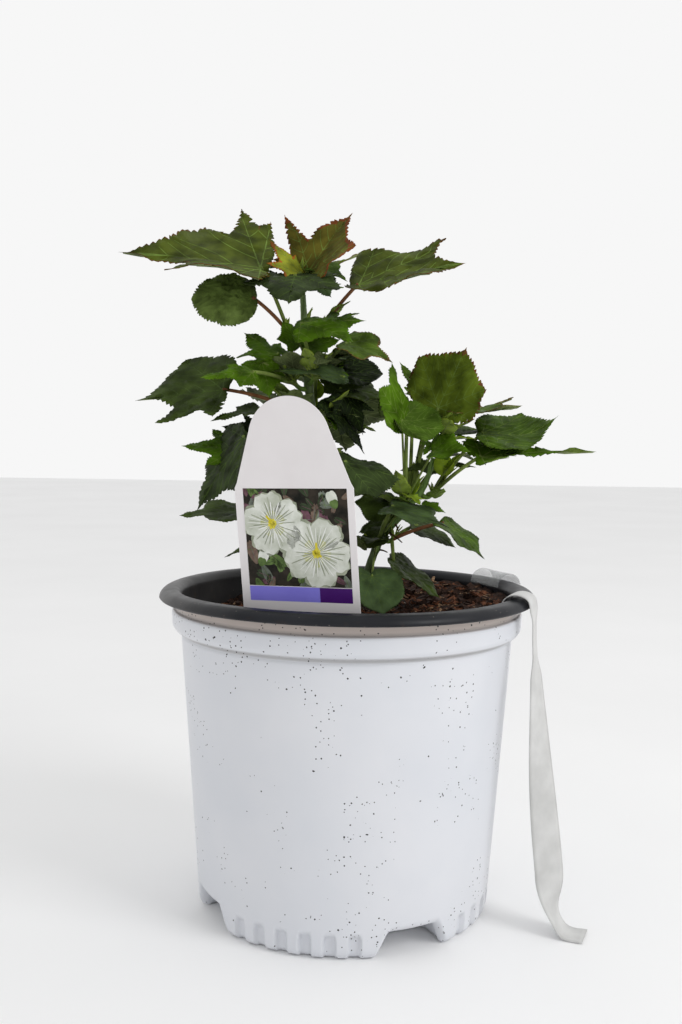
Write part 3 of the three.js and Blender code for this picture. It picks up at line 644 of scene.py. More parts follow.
# %% Grow with a geometry tree
def growing_tree(name, inputs):
    """A new geometry tree with named inputs, given as {label: (socket type, value)}."""
    tree = bpy.data.node_groups.new(name, "GeometryNodeTree")
    tree.interface.new_socket("Geometry", in_out="INPUT", socket_type="NodeSocketGeometry")
    for label, (kind, value) in inputs.items():
        socket = tree.interface.new_socket(label, in_out="INPUT", socket_type=kind)
        if value is not None:
            socket.default_value = value
    tree.interface.new_socket("Geometry", in_out="OUTPUT", socket_type="NodeSocketGeometry")
    return tree, tree.nodes.new("NodeGroupInput"), tree.nodes.new("NodeGroupOutput")


def grown(source, tree, values, name):
    """Run a geometry tree on an object, and keep the result as a plain mesh."""
    modifier = source.modifiers.new("grow", "NODES")
    modifier.node_group = tree
    ids = {item.name: item.identifier for item in tree.interface.items_tree if item.in_out == "INPUT"}
    for label, value in values.items():
        modifier[ids[label]] = value
    graph = bpy.context.evaluated_depsgraph_get()
    mesh = bpy.data.meshes.new_from_object(source.evaluated_get(graph))
    source.modifiers.remove(modifier)
    piece = bpy.data.objects.new(name, mesh)
    mesh.name = name
    bpy.context.scene.collection.objects.link(piece)
    return piece


print("tree helpers:", growing_tree.__name__, grown.__name__)

# %% [markdown]
# ## Loose chips
# Chips of a few millimetres lie on the bed: dark and red ones, tan fibres and pale flecks. There
# are too many to place by hand, so one bent block is scattered, turned and scaled at random,
# with a fixed seed for each kind.


# %% Strew the chips
def chip_tree():
    tree, start, end = growing_tree("strewn chips", {
        "Density": ("NodeSocketFloat", 1000.0),
        "Seed": ("NodeSocketInt", 0),
        "Chip": ("NodeSocketVector", (0.006, 0.003, 0.0012)),
        "Smallest": ("NodeSocketFloat", 0.4),
        "Largest": ("NodeSocketFloat", 1.4),
        "Lean": ("NodeSocketFloat", 0.5),
        "Finish": ("NodeSocketMaterial", None),
    })
    put = start.outputs
    points = add(
        tree, "GeometryNodeDistributePointsOnFaces",
        Mesh=put["Geometry"], Density=put["Density"], Seed=put["Seed"],
    )
    block = add(tree, "GeometryNodeMeshCube", Size=put["Chip"], Vertices_X=3, Vertices_Y=2, Vertices_Z=2)
    ragged = add(tree, "ShaderNodeTexNoise", {"noise_dimensions": "3D"}, Scale=400.0)
    centred = vector_of(tree, "SUBTRACT", ragged.outputs["Color"], (0.5, 0.5, 0.5))
    push = vector_of(tree, "MULTIPLY", centred, put["Chip"])
    bent = add(tree, "GeometryNodeSetPosition", Geometry=block.outputs["Mesh"], Offset=push)
    lean = add(tree, "ShaderNodeCombineXYZ", X=put["Lean"], Y=put["Lean"], Z=math.pi).outputs[0]
    back = add(tree, "ShaderNodeVectorMath", {"operation": "SCALE"}, Vector=lean, Scale=-1.0).outputs[0]
    turns = add(
        tree, "FunctionNodeRandomValue", {"data_type": "FLOAT_VECTOR"}, Min=back, Max=lean, Seed=put["Seed"],
    )
    sizes = add(
        tree, "FunctionNodeRandomValue", {"data_type": "FLOAT"},
        Min=put["Smallest"], Max=put["Largest"], Seed=put["Seed"],
    )
    strewn = add(
        tree, "GeometryNodeInstanceOnPoints",
        Points=points.outputs["Points"], Instance=bent.outputs["Geometry"],
        Rotation=turns.outputs[0], Scale=sizes.outputs[1],
    )
    real = add(tree, "GeometryNodeRealizeInstances", Geometry=strewn.outputs["Instances"])
    painted = add(tree, "GeometryNodeSetMaterial", Geometry=real.outputs["Geometry"], Material=put["Finish"])
    tree.links.new(painted.outputs["Geometry"], end.inputs["Geometry"])
    return tree


CHIPS = {
    # how many on a square millimetre, size in millimetres, dark and light colour, seed
    "dark_chips": (0.040, (8.0, 3.4, 1.8), (0.012, 0.005, 0.003), (0.060, 0.026, 0.015), 3),
    "red_chips": (0.026, (7.0, 2.8, 1.3), (0.060, 0.020, 0.010), (0.24, 0.095, 0.045), 5),
    "tan_fibres": (0.020, (7.5, 1.3, 0.6), (0.17, 0.095, 0.05), (0.40, 0.26, 0.16), 7),
    "pale_flecks": (0.006, (1.9, 1.5, 1.0), (0.55, 0.50, 0.43), (0.72, 0.68, 0.60), 9),
}
STREWN_RADIUS = 97.0
STREWN_RINGS = 40
STREWN_ABOVE = 0.5               # height of the chips' points above the bed
chip_maker = chip_tree()
rings = np.linspace(0.12, 1, STREWN_RINGS)[:, None] * STREWN_RADIUS
chip_x, chip_y = rings * np.cos(soil_angle), rings * np.sin(soil_angle)
chip_z = soil_height(chip_x, chip_y) + STREWN_ABOVE
chip_points = np.stack([chip_x, chip_y, chip_z], -1).reshape(-1, 3)
for chips, (per_square, size, dark, light, seed) in CHIPS.items():
    chip_bed = mesh_piece("chip_bed", chip_points, grid_faces(STREWN_RINGS, SOIL_AROUND), [])
    values = {
        "Density": per_square / MM ** 2,
        "Seed": seed,
        "Chip": [side * MM for side in size],
        "Finish": soil_look(chips, dark, light),
    }
    strewn_piece = grown(chip_bed, chip_maker, values, chips)
    bpy.data.objects.remove(chip_bed)
    finished(strewn_piece, "bark_mix")

# %% [markdown]
# ## Paths
# Stems, side shoots and stalks all follow curves. These helpers work out the same curves as the
# solids do: a centripetal spline through given points for a stem, and a simple bent curve with
# one guide point for a shoot or a stalk.


# %% Curves through points
def towards(bearing):
    return np.array([math.cos(math.radians(bearing)), math.sin(math.radians(bearing)), 0.0])


def spline(points, steps=240):
    """Centripetal Catmull-Rom spline through points, as a fine polyline."""
    points = [np.array(p, float) for p in points]
    ends = [2 * points[0] - points[1]] + points + [2 * points[-1] - points[-2]]
    line = []
    for a, b, c, d in zip(ends, ends[1:], ends[2:], ends[3:]):
        da, db, dc = (math.sqrt(np.linalg.norm(q - p)) for p, q in ((a, b), (b, c), (c, d)))
        start = ((b - a) / da - (c - a) / (da + db) + (c - b) / db) * db
        stop = ((c - b) / db - (d - b) / (db + dc) + (d - c) / dc) * db
        t = np.linspace(0, 1, steps // (len(points) - 1), endpoint=False)[:, None]
        squared = (3 * (c - b) - 2 * start - stop) * t ** 2
        cubed = (2 * (b - c) + start + stop) * t ** 3
        line.append(b + start * t + squared + cubed)
    return np.concatenate(line + [points[-1][None]])


def bent(start, guide, end, steps=12):
    t = np.linspace(0, 1, steps + 1)[:, None]
    return (1 - t) ** 2 * start + 2 * t * (1 - t) * guide + t * t * end


class Path:
    """A polyline that can be asked for its place and direction at a share of its length."""

    def __init__(self, line):
        self.line = line
        self.steps = np.concatenate([[0], np.cumsum(np.linalg.norm(np.diff(line, axis=0), axis=1))])
        self.length = self.steps[-1]

    def at(self, share):
        wanted = np.clip(share, 0, 1) * self.length
        return np.stack([np.interp(wanted, self.steps, self.line[:, k]) for k in range(3)], -1)

    def along(self, share):
        step = 0.004
        ahead = self.at(np.minimum(share + step, 1)) - self.at(np.maximum(share - step, 0))
        return ahead / np.linalg.norm(ahead, axis=-1, keepdims=True)


print("length of a small curve:", Path(spline([(0, 0, 0), (0, 0, 10), (0, 5, 20)])).length)

# %% [markdown]
# ## A tree for limbs
# A stem, a shoot and a stalk are the same thing at different sizes: a round bar that tapers
# along a path. Geometry Nodes turn a chain of points, each with its own radius, into such a
# bar, and push its skin in and out with noise where the real one has bark.


# %% Limbs that follow a path
def limb_tree():
    tree, start, end = growing_tree("tapering limbs", {
        "Sides": ("NodeSocketInt", 12),
        "Relief": ("NodeSocketFloat", 0.0),
        "Relief Scale": ("NodeSocketFloat", 300.0),
        "Finish": ("NodeSocketMaterial", None),
    })
    put = start.outputs
    chain = add(tree, "GeometryNodeMeshToCurve", Mesh=put["Geometry"])
    width = add(tree, "GeometryNodeInputNamedAttribute", {"data_type": "FLOAT"}, Name="radius")
    sized = add(
        tree, "GeometryNodeSetCurveRadius",
        Curve=chain.outputs["Curve"], Radius=width.outputs["Attribute"],
    )
    ring = add(tree, "GeometryNodeCurvePrimitiveCircle", Resolution=put["Sides"], Radius=1.0)
    skin = add(
        tree, "GeometryNodeCurveToMesh",
        Curve=sized.outputs["Curve"], Profile_Curve=ring.outputs["Curve"], Fill_Caps=True,
    )
    if "Scale" in skin.inputs:
        tree.links.new(width.outputs["Attribute"], skin.inputs["Scale"])
    bark = add(tree, "ShaderNodeTexNoise", {"noise_dimensions": "3D"}, Scale=put["Relief Scale"], Detail=3.0)
    depth = math_of(tree, "MULTIPLY", math_of(tree, "SUBTRACT", bark.outputs["Fac"], 0.5), put["Relief"])
    outward = tree.nodes.new("GeometryNodeInputNormal").outputs[0]
    push = add(tree, "ShaderNodeVectorMath", {"operation": "SCALE"}, Vector=outward, Scale=depth)
    rough = add(tree, "GeometryNodeSetPosition", Geometry=skin.outputs["Mesh"], Offset=push.outputs[0])
    soft = add(tree, "GeometryNodeSetShadeSmooth", Shade_Smooth=True)
    tree.links.new(rough.outputs["Geometry"], soft.inputs[0])
    real = add(tree, "GeometryNodeRealizeInstances", Geometry=soft.outputs[0])
    painted = add(tree, "GeometryNodeSetMaterial", Geometry=real.outputs["Geometry"], Material=put["Finish"])
    tree.links.new(painted.outputs["Geometry"], end.inputs["Geometry"])
    return tree


limb_maker = limb_tree()
print("inputs of the limb tree:", [item.name for item in limb_maker.interface.items_tree])


def limbs(name, chains, sides, finish, relief=0.0, relief_scale=300.0):
    """One mesh of tapering limbs, from chains of (points in mm, radii in mm)."""
    mesh = bpy.data.meshes.new(name + "_chains")
    points, edges, radii = [], [], []
    for line, widths in chains:
        first = len(points)
        points += [tuple(np.asarray(p) * MM) for p in line]
        radii += [w * MM for w in widths]
        edges += [(first + i, first + i + 1) for i in range(len(line) - 1)]
    mesh.from_pydata(points, edges, [])
    mesh.attributes.new("radius", "FLOAT", "POINT").data.foreach_set("value", radii)
    chain = bpy.data.objects.new(name + "_chains", mesh)
    bpy.context.scene.collection.objects.link(chain)
    values = {"Sides": sides, "Relief": relief * MM, "Relief Scale": relief_scale, "Finish": finish}
    piece = grown(chain, limb_maker, values, name)
    bpy.data.objects.remove(chain)
    return piece


# %% [markdown]
# ## Stems
# The two shoots rise from one crown. The main stem is green above and turns brown and slightly
# woody at its foot; the right one is younger and greener. Old leaf scars make small swellings.

# %% Stem paths and finish
STEM_FOOT = SOIL_LEVEL + 0.3
SCAR_SWELL = 0.42                # how far a leaf scar swells the stem
SCAR_REACH = 2.2                 # and how far along it
MAIN_LINE = [(-6, 6, STEM_FOOT), (-12, 4, 235), (-20, 2, 290), (-28, 0, 345), (-31, 0, 391)]
RIGHT_LINE = [(6, 4, STEM_FOOT), (20, 1, 234), (34, 0, 252), (48, 0, 270), (54, 0, 289)]
STEMS = {
    # radius at the foot and at the tip, and how much wider the very foot flares
    "main": {"path": Path(spline(MAIN_LINE)), "foot": 4.2, "tip": 1.9, "flare": 2.0},
    "right": {"path": Path(spline(RIGHT_LINE)), "foot": 3.1, "tip": 1.5, "flare": 1.4},
}


def stem_radius(stem, share):
    taper = stem["foot"] + (stem["tip"] - stem["foot"]) * share
    return taper + stem["flare"] * np.exp(-share * stem["path"].length / 7)


def share_at(stem, height):
    """The share of a stem's length at a height."""
    shares = np.linspace(0, 1, 400)
    return float(np.interp(height, stem["path"].at(shares)[:, 2], shares))


def stem_look(name, foot, middle, top, low, high):
    look, tree, shader = new_look(name, middle, 0.55)
    place = place_of(tree)
    rise = fade(tree, axis_of(tree, place, "Z"), low * MM, high * MM)
    wavy = math_of(tree, "ADD", rise, math_of(tree, "MULTIPLY", noise(tree, place, 160.0), 0.25))
    age = ramp(tree, wavy, (0.14, foot), (0.40, middle), (0.95, top))
    stretched = add(tree, "ShaderNodeMapping", Vector=place, Scale=(1.0, 1.0, 0.12)).outputs[0]
    grain = noise(tree, stretched, 900.0, 4.0)
    streaks = ramp(tree, grain, (0.35, (0.55, 0.50, 0.45)), (0.65, (1.0, 1.0, 1.0)))
    tree.links.new(mixed(tree, 0.7, age, streaks, "MULTIPLY"), shader.inputs["Base Color"])
    bump(tree, shader, noise(tree, stretched, 1100.0, 3.0), 0.5, 0.0004)
    return look


def stem_chain(stem, swellings):
    """Points and radii of a stem, with a small swelling at each node."""
    shares = np.linspace(0, 1, 150)
    radii = stem_radius(stem, shares)
    for height in swellings:
        away = (shares - share_at(stem, height)) * stem["path"].length
        radii = radii + SCAR_SWELL * np.exp(-((away / SCAR_REACH) ** 2))
    return stem["path"].at(shares), radii


print("stem lengths:", {name: round(stem["path"].length, 1) for name, stem in STEMS.items()})

# %% [markdown]
# ## Leaves: what grows where
# A mass of leaves is one side shoot with its stalks and blades. Each leaf is placed as in the
# solids: its joint lies some way out from the stem at a height, and its blade points along a
# bearing, raised by a pitch and turned about its midrib. Here each one also has a tint.


# %% Leaf list and its rules
def leaf(shape, place, turn, length, fold=0.1, droop=0.1, tint="dark", stalk="green", **bends):
    """A leaf's place and form. Bends may hold cup, twist, curl and wave."""
    return {
        "shape": shape, "out": place[0], "reach": place[1], "up": place[2],
        "bearing": turn[0], "pitch": turn[1], "roll": turn[2], "length": length,
        "fold": fold, "droop": droop, "tint": tint, "stalk": stalk, **bends,
    }


def dice_from(seed):
    """Repeatable random numbers between 0 and 1, the same as in the solids."""
    state = seed

    def roll_once():
        nonlocal state
        state = (state * 1664525 + 1013904223) % 4294967296
        return state / 4294967296

    return roll_once


def fan(seed, count, side, spread, reach, up, length, rise=14):
    """Leaves spread evenly round a side of the plant."""
    roll_once = dice_from(seed)

    def near(value, share):
        return value * (1 + share * (roll_once() - 0.5))

    leaves = []
    for i in range(count):
        out = side + spread * (i / max(1, count - 1) - 0.5) + 16 * (roll_once() - 0.5)
        height = up + rise * (1 if i % 2 else -1) + 6 * (roll_once() - 0.5)
        turn = [out + 30 * (roll_once() - 0.5), -12 + 26 * (roll_once() - 0.5), 30 * (roll_once() - 0.5)]
        shape = ("lobed", "broad", "long")[int(3 * roll_once())]
        place = [out, near(reach, 0.3), height]
        tint = ("dark", "green", "slate")[i % 3]
        leaves.append(leaf(shape, place, turn, near(length, 0.35), 0.15, 0.15, tint))
    return leaves


print("leaf helpers:", leaf.__name__, fan.__name__)

# %% [markdown]
# ## Masses on the main stem
# The main stem carries the big old leaves, from the red tip downwards. The front of the plant is
# known leaf by leaf, so each is listed. Two masses at the back come from the fan rule instead.

# %% Masses on the main stem
MAIN_MASSES = [
    dict(name="top_leaves", height="tip", side=100, spur=13, young=2, leaves=[
        leaf("broad", [303, 6, 405], [5, 58, 39], 47, 0.35, 0.1, "red", left="cleft", twist=0.21),
        leaf("lobed", [262, 12, 403], [168, 52, -19], 29, -0.2, 0.1, "amber", twist=-0.22),
        leaf("broad", [259, 22, 400], [268, -17, 0], 45, 0, 0.2, "slate", twist=-0.04),
        leaf("sliver", [80, 14, 403], [22, 30, 10], 46, 0.15, 0.05, "bronze", left="long"),
    ], small=[leaf("broad", [300, 9, 403], [335, -40, 30], 21, 0.1, 0.1, "pale", twist=0)], finer=1),
    dict(name="upper_left_leaves", height=364, side=200, spur=12, young=0, leaves=[
        leaf("kite", [209, 31, 406], [184, 7.4, -24], 88, 0.2, 0.05, "red_edged", left="wing", twist=-0.06),
        leaf("shield", [219, 40, 386], [200, 11, -53], 35, 0.07, 0.1, "puckered", "red",
             cup=-0.3, twist=0.05),
    ], finer=0),
    dict(name="upper_right_leaves", height=364, side=350, spur=10, leaves=[
        leaf("ledge", [343, 35, 397], [349, 13, 28], 68, 0.16, 0.05, "red_edged", "red",
             left="twin", twist=-0.08),
    ], finer=1),
    dict(name="upper_back_leaves", height=372, side=85, spur=10, young=0, leaves=[
        leaf("broad", [95, 40, 402], [88, 12, 8], 42, 0.15, 0.1, "green"),
        leaf("lobed", [98, 46, 414], [128, 16, -10], 44, 0.15, 0.1, "dark"),
    ], finer=0),
    dict(name="middle_front_leaves", height=335, side=290, spur=9, young=2, leaves=[
        leaf("twin", [262, 28, 371], [350, 7, 22], 40, -0.22, 0.1, "bright", twist=0.09),
        leaf("long", [307, 38, 338], [188, 10, -22], 40, 0.1, 0.1, "pale", twist=0),
    ], small=[
        leaf("broad", [246, 13, 359], [180, 55, -36], 19, -0.12, 0.1, "bright", twist=-0.16),
        leaf("broad", [262, 12, 357], [358, 19, 33], 23, 0.04, 0.1, "bright", twist=0),
    ]),
    dict(name="middle_right_leaves", height=340, side=5, spur=8, leaves=[
        leaf("broad", [328, 29, 360], [348, -12, 24], 31, 0.12, 0.2, "olive", twist=0.03),
        leaf("round", [23, 20, 343], [0, 4, 29], 30, 0.11, 0.1, "shaded", twist=0.07),
    ]),
    dict(name="middle_left_leaves", height=332, side=215, spur=10, leaves=[
        leaf("lobed", [219, 25, 353], [142, 26, -9], 32, -0.26, 0, "bright", twist=-0.44),
        leaf("long", [231, 52, 340], [207, -3, -32], 33, -0.17, 0.1, "bright", twist=-0.05),
    ], small=[leaf("broad", [218, 36, 347], [323, -69, 18], 23, -0.11, 0.1, "bright")]),
    dict(name="left_leaves", height=316, side=200, spur=9, leaves=[
        leaf("full", [201, 59, 330], [169, -5, -38], 59, 0.04, 0.05, "dark", "red", left="wing", twist=0.15),
        leaf("long", [205, 37, 318], [198, -9, -17], 31, 0.09, 0.1, "dark", twist=-0.04),
    ]),
    dict(name="middle_back_leaves", height=312, side=90, spur=12,
         leaves=fan(9, 3, 95, 50, 34, 338, 48)),
    dict(name="right_front_leaves", height=306, side=325, spur=9, leaves=[
        leaf("lobed", [312, 23, 315], [335, -47, 3], 30, 0.03, 0.1, "shaded", twist=-0.06),
        leaf("lobed", [335, 22, 329], [326, -59, 20], 29, -0.18, 0.1, "shaded", twist=0.09),
        leaf("broad", [20, 54, 333], [341, -62, 19], 26, -0.3, 0.1, "dark", twist=0.23),
    ], small=[
        leaf("broad", [323, 13, 326], [351, -49, 33], 23, 0, 0.1, "shaded"),
        leaf("broad", [16, 17, 333], [355, -6, 20], 33, 0, 0.1, "dark", twist=-0.1),
        leaf("broad", [33, 18, 340], [300, -50, 10], 22, 0, 0.1, "dark", twist=0),
    ]),
    dict(name="lower_left_leaves", height=286, side=205, spur=9, leaves=[
        leaf("lobed", [171, 37, 305], [190, 9, -42], 27, -0.17, 0.1, "shaded", twist=0.09),
        leaf("lobed", [191, 53, 293], [184, 7, -34], 35, -0.04, 0.1, "bright", twist=0),
        leaf("broad", [213, 55, 301], [186, -56, -20], 54, -0.03, 0.05, "slate", twist=0),
    ]),
    dict(name="behind_label_leaves", height=272, side=300, spur=9, leaves=[
        leaf("full", [286, 55, 287], [7, -12, 25], 36, -0.29, 0.1, "slate", twist=0.03),
        leaf("broad", [255, 34, 280], [250, -25, 10], 34, 0.1, 0.1, "dark"),
    ], small=[leaf("broad", [293, 41, 282], [319, -32, 32], 26, -0.24, 0.1, "dark", twist=-0.3)]),
    dict(name="low_back_leaves", height=262, side=105, spur=10,
         leaves=fan(3, 3, 105, 45, 36, 276, 42)),
    dict(name="lowest_left_leaves", height=240, side=190, spur=8, young=0, leaves=[
        leaf("broad", [194, 58, 253], [189, 2, -11], 38, 0.05, 0.1, "dark", twist=0),
        leaf("long", [173, 50, 230], [189, -18, -15], 20, 0, 0.1, "dark", twist=0),
    ]),
]
print("on the main stem:", len(MAIN_MASSES), "masses")

# %% [markdown]
# ## Masses on the right stem
# The right stem is younger: fresher greens, long stalks and more young leaves at its tip. It is
# listed in the same way. Small leaves are kept apart, because the solids leave those out.

# %% Masses on the right stem
RIGHT_MASSES = [
    dict(name="shoot_tip_leaves", height="tip", side=330, spur=9, young=2,
         fresh=True, leaves=[
        leaf("full", [292, 5, 321], [341, 65, 70], 42, 0.09, 0, "bronze", twist=0.05),
        leaf("lobed", [51, 23, 317], [316, 6, 12], 54, 0.11, 0, "olive", twist=-0.16),
        leaf("broad", [60, 26, 304], [45, 10, 5], 34, 0.15, 0.1, "green"),
    ]),
    dict(name="shoot_right_leaves", height=266, side=355, spur=9,
         fresh=True, leaves=[
        leaf("full", [3, 40, 306], [358, -5, 19], 46, 0.06, -0.05, "green", curl=1.0, twist=0.11),
        leaf("sliver", [334, 41, 291], [2, 8, 25], 73, 0.14, 0.1, "bright", left="tail", twist=-0.5),
    ], finer=1, small=[
        leaf("young", [338, 16, 280], [97, 71, 0], 20, 0.2, 0.1, "young"),
        leaf("young", [335, 19, 283], [21, 51, 0], 13, 0.2, 0.1, "young"),
    ]),
    dict(name="shoot_left_leaves", height=256, side=255, spur=8,
         fresh=True, leaves=[
        leaf("long", [265, 26, 308], [133, 78, 18], 42, -0.07, 0.1, "bright", left="broad", twist=0),
        leaf("round", [259, 29, 313], [11, -33, 37], 24, -0.34, 0.1, "green", cup=0.6, twist=0.33),
    ], small=[leaf("broad", [318, 21, 293], [339, 13, 33], 23, 0.36, 0.1, "bright")]),
    dict(name="shoot_back_leaves", height=258, side=85, spur=9, leaves=[
        leaf("long", [74, 56, 322], [136, 49, -4], 43, 0.17, 0, "green"),
        leaf("long", [48, 24, 282], [210, 1, -33], 25, 0.2, 0.1, "dark", twist=0),
        leaf("broad", [62, 40, 328], [75, 12, 0], 34, 0.15, 0.15, "dark"),
        leaf("long", [85, 37, 316], [84, 8, 0], 34, 0.15, 0.15, "green"),
        leaf("long", [48, 38, 290], [52, 4, 0], 36, 0.15, 0.15, "slate"),
    ], finer=0, small=[leaf("slip", [39, 22, 281], [5, 17, 10], 27, 0.1, 0.1, "dark")]),
    dict(name="shoot_low_right_leaves", height=237, side=350, spur=7, young=0, leaves=[
        leaf("full", [348, 40, 248], [338, -33, 0], 35, 0.04, 0.1, "green", "red", twist=-0.09),
        leaf("full", [319, 10, 223], [355, -32, 5], 38, 0.04, 0.1, "dark", twist=0.02),
        leaf("full", [40, 31, 244], [348, -23, 7], 30, 0, 0.1, "dark", twist=-0.07),
    ], finer=0),
    dict(name="shoot_low_front_leaves", height=230, side=270, spur=7, young=0, leaves=[
        leaf("broad", [284, 37, 260], [341, -13, 9], 38, 0, 0.1, "pale", twist=-0.14),
        leaf("round", [266, 49, 218], [301, -50, -3], 25, 0.13, 0.1, "pale", twist=0.19),
    ], finer=2, small=[
        leaf("full", [321, 11, 260], [177, 5, -32], 24, -0.19, 0.1, "dark", twist=0),
        leaf("full", [296, 13, 240], [175, -8, -26], 19, 0, 0.1, "dark", twist=0.07),
        leaf("broad", [43, 15, 251], [162, -23, -34], 27, 0, 0.1, "dark"),
        leaf("young", [338, 23, 265], [170, 70, 0], 18, 0.2, 0.1, "young"),
        leaf("young", [335, 25, 266], [23, 69, 1], 14, 0.2, 0.1, "young"),
    ]),
]
FIRST_SEED = 11
MASSES = [dict(mass, stem="main") for mass in MAIN_MASSES]
MASSES += [dict(mass, stem="right") for mass in RIGHT_MASSES]
for index, mass in enumerate(MASSES):
    mass["seed"] = FIRST_SEED + index
    mass.setdefault("young", 1)
print("masses:", len(MASSES), "placed leaves:", sum(len(mass["leaves"]) for mass in MASSES))

# %% [markdown]
# ## Where the shoots start
# A side shoot leaves its stem square, 0.3 mm clear of it, and turns up at its end. Young leaves
# crowd that end. These rules are the same as those of the solids.

# %% Side shoots and young leaves
CLEAR = 0.3
SPUR_RADIUS = 1.7
STALK_RADIUS = 1.15
THIN_STALK = 0.7                 # radius of a small leaf's stalk
SMALL_LEAF = 26                  # a blade shorter than this is small


def spur_path(mass):
    stem = STEMS[mass["stem"]]
    away = towards(mass["side"])
    lift = np.array([0, 0, 1.0])
    if mass["height"] == "tip":
        axis, along = stem["path"].at(1.0), stem["path"].along(1.0)
        start = axis + along * CLEAR
        guide = start + along * mass["spur"] * 0.6
        end = guide + away + lift * mass["spur"] * 0.4
        return axis, Path(bent(start, guide, end))
    share = share_at(stem, mass["height"])
    axis, along = stem["path"].at(share), stem["path"].along(share)
    square = away - along * along.dot(away)
    square /= np.linalg.norm(square)
    start = axis + square * (float(stem_radius(stem, share)) + CLEAR)
    guide = start + square * mass["spur"] * 0.5
    end = guide + away * mass["spur"] * 0.35 + lift * mass["spur"] * 0.5
    return axis, Path(bent(start, guide, end))


print("side shoots:", sum(spur_path(mass)[1].length for mass in MASSES), "mm in all")

# %% [markdown]
# ## Young leaves
# Every side shoot ends in a tuft: a few young leaves that the solids also have, then finer
# leaves and narrow slips that only this script has. A seeded rule deals them out, since no one
# would know such a leaf again.


# %% Young and finer leaves
def young_leaves(mass, end, axis):
    roll_once = dice_from(mass["seed"])
    leaves = []
    for i in range(mass["young"]):
        out = mass["side"] + 110 * ((i + 0.5) / mass["young"] - 0.5) + 20 * (roll_once() - 0.5)
        joint = end + towards(out) * (4 + 4 * roll_once())
        joint[2] += 5 + 5 * roll_once()
        turn = [out, 35 + 30 * roll_once(), 20 * (roll_once() - 0.5)]
        item = leaf("young", [0, 0, 0], turn, 13 + 8 * roll_once(), tint="young")
        item["joint"] = joint
        if np.linalg.norm(joint - axis) > 5:
            leaves.append(item)
    return leaves


FINER_LEAVES = 4
SLIPS = 5


def finer_leaves(mass, end, chance):
    """Small leaves and narrow slips round the end of a side shoot, which the solids leave out."""
    leaves = []
    for i in range(mass.get("finer", FINER_LEAVES)):
        out = mass["side"] + 200 * (i / FINER_LEAVES - 0.4) + 50 * (chance.random() - 0.5)
        joint = end + towards(out) * (3 + 9 * chance.random())
        joint[2] += -3 + 12 * chance.random()
        turn = [out + 40 * (chance.random() - 0.5), -20 + 60 * chance.random(), 50 * (chance.random() - 0.5)]
        shape = ("broad", "young", "lobed")[int(3 * chance.random())]
        tints = ("bright", "young", "bright") if mass.get("fresh") else ("green", "dark", "bright")
        tint = tints[int(3 * chance.random())]
        item = leaf(shape, [0, 0, 0], turn, 12 + 12 * chance.random(), 0.15, 0.15, tint)
        item["joint"] = joint
        leaves.append(item)
    for i in range(SLIPS):
        out = 360 * (i + chance.random()) / SLIPS
        turn = [out, 45 + 40 * chance.random(), 0]
        item = leaf("slip", [0, 0, 0], turn, 6 + 6 * chance.random(), 0.2, 0.1, "young")
        item["joint"] = end + towards(out) * 0.8
        leaves.append(item)
    return leaves


def blade_frame(item):
    """Directions along the midrib, to its left, and out of the upper face."""
    flat = towards(item["bearing"])
    pitch, turn = math.radians(item["pitch"]), math.radians(item["roll"])
    along = flat * math.cos(pitch) + np.array([0, 0, math.sin(pitch)])
    level = np.array([-flat[1], flat[0], 0.0])
    side = level * math.cos(turn) + np.cross(along, level) * math.sin(turn)
    return along, side, np.cross(along, side)


def stalk_path(inward, joint):
    guide = (inward + joint) / 2
    guide[2] += 0.08 * np.linalg.norm(joint - inward)
    return bent(inward, guide, joint)


print("finer leaves and slips for each shoot:", FINER_LEAVES, SLIPS)

# %% [markdown]
# ## The outline of a leaf
# A hibiscus leaf is lobed like a hand, and its edge is a row of teeth that lean towards the
# nearest lobe's tip. The lobes come from a few corners given as an angle and a share of the
# length. Between two corners the edge is a smooth curve, and along it a saw pattern is added.

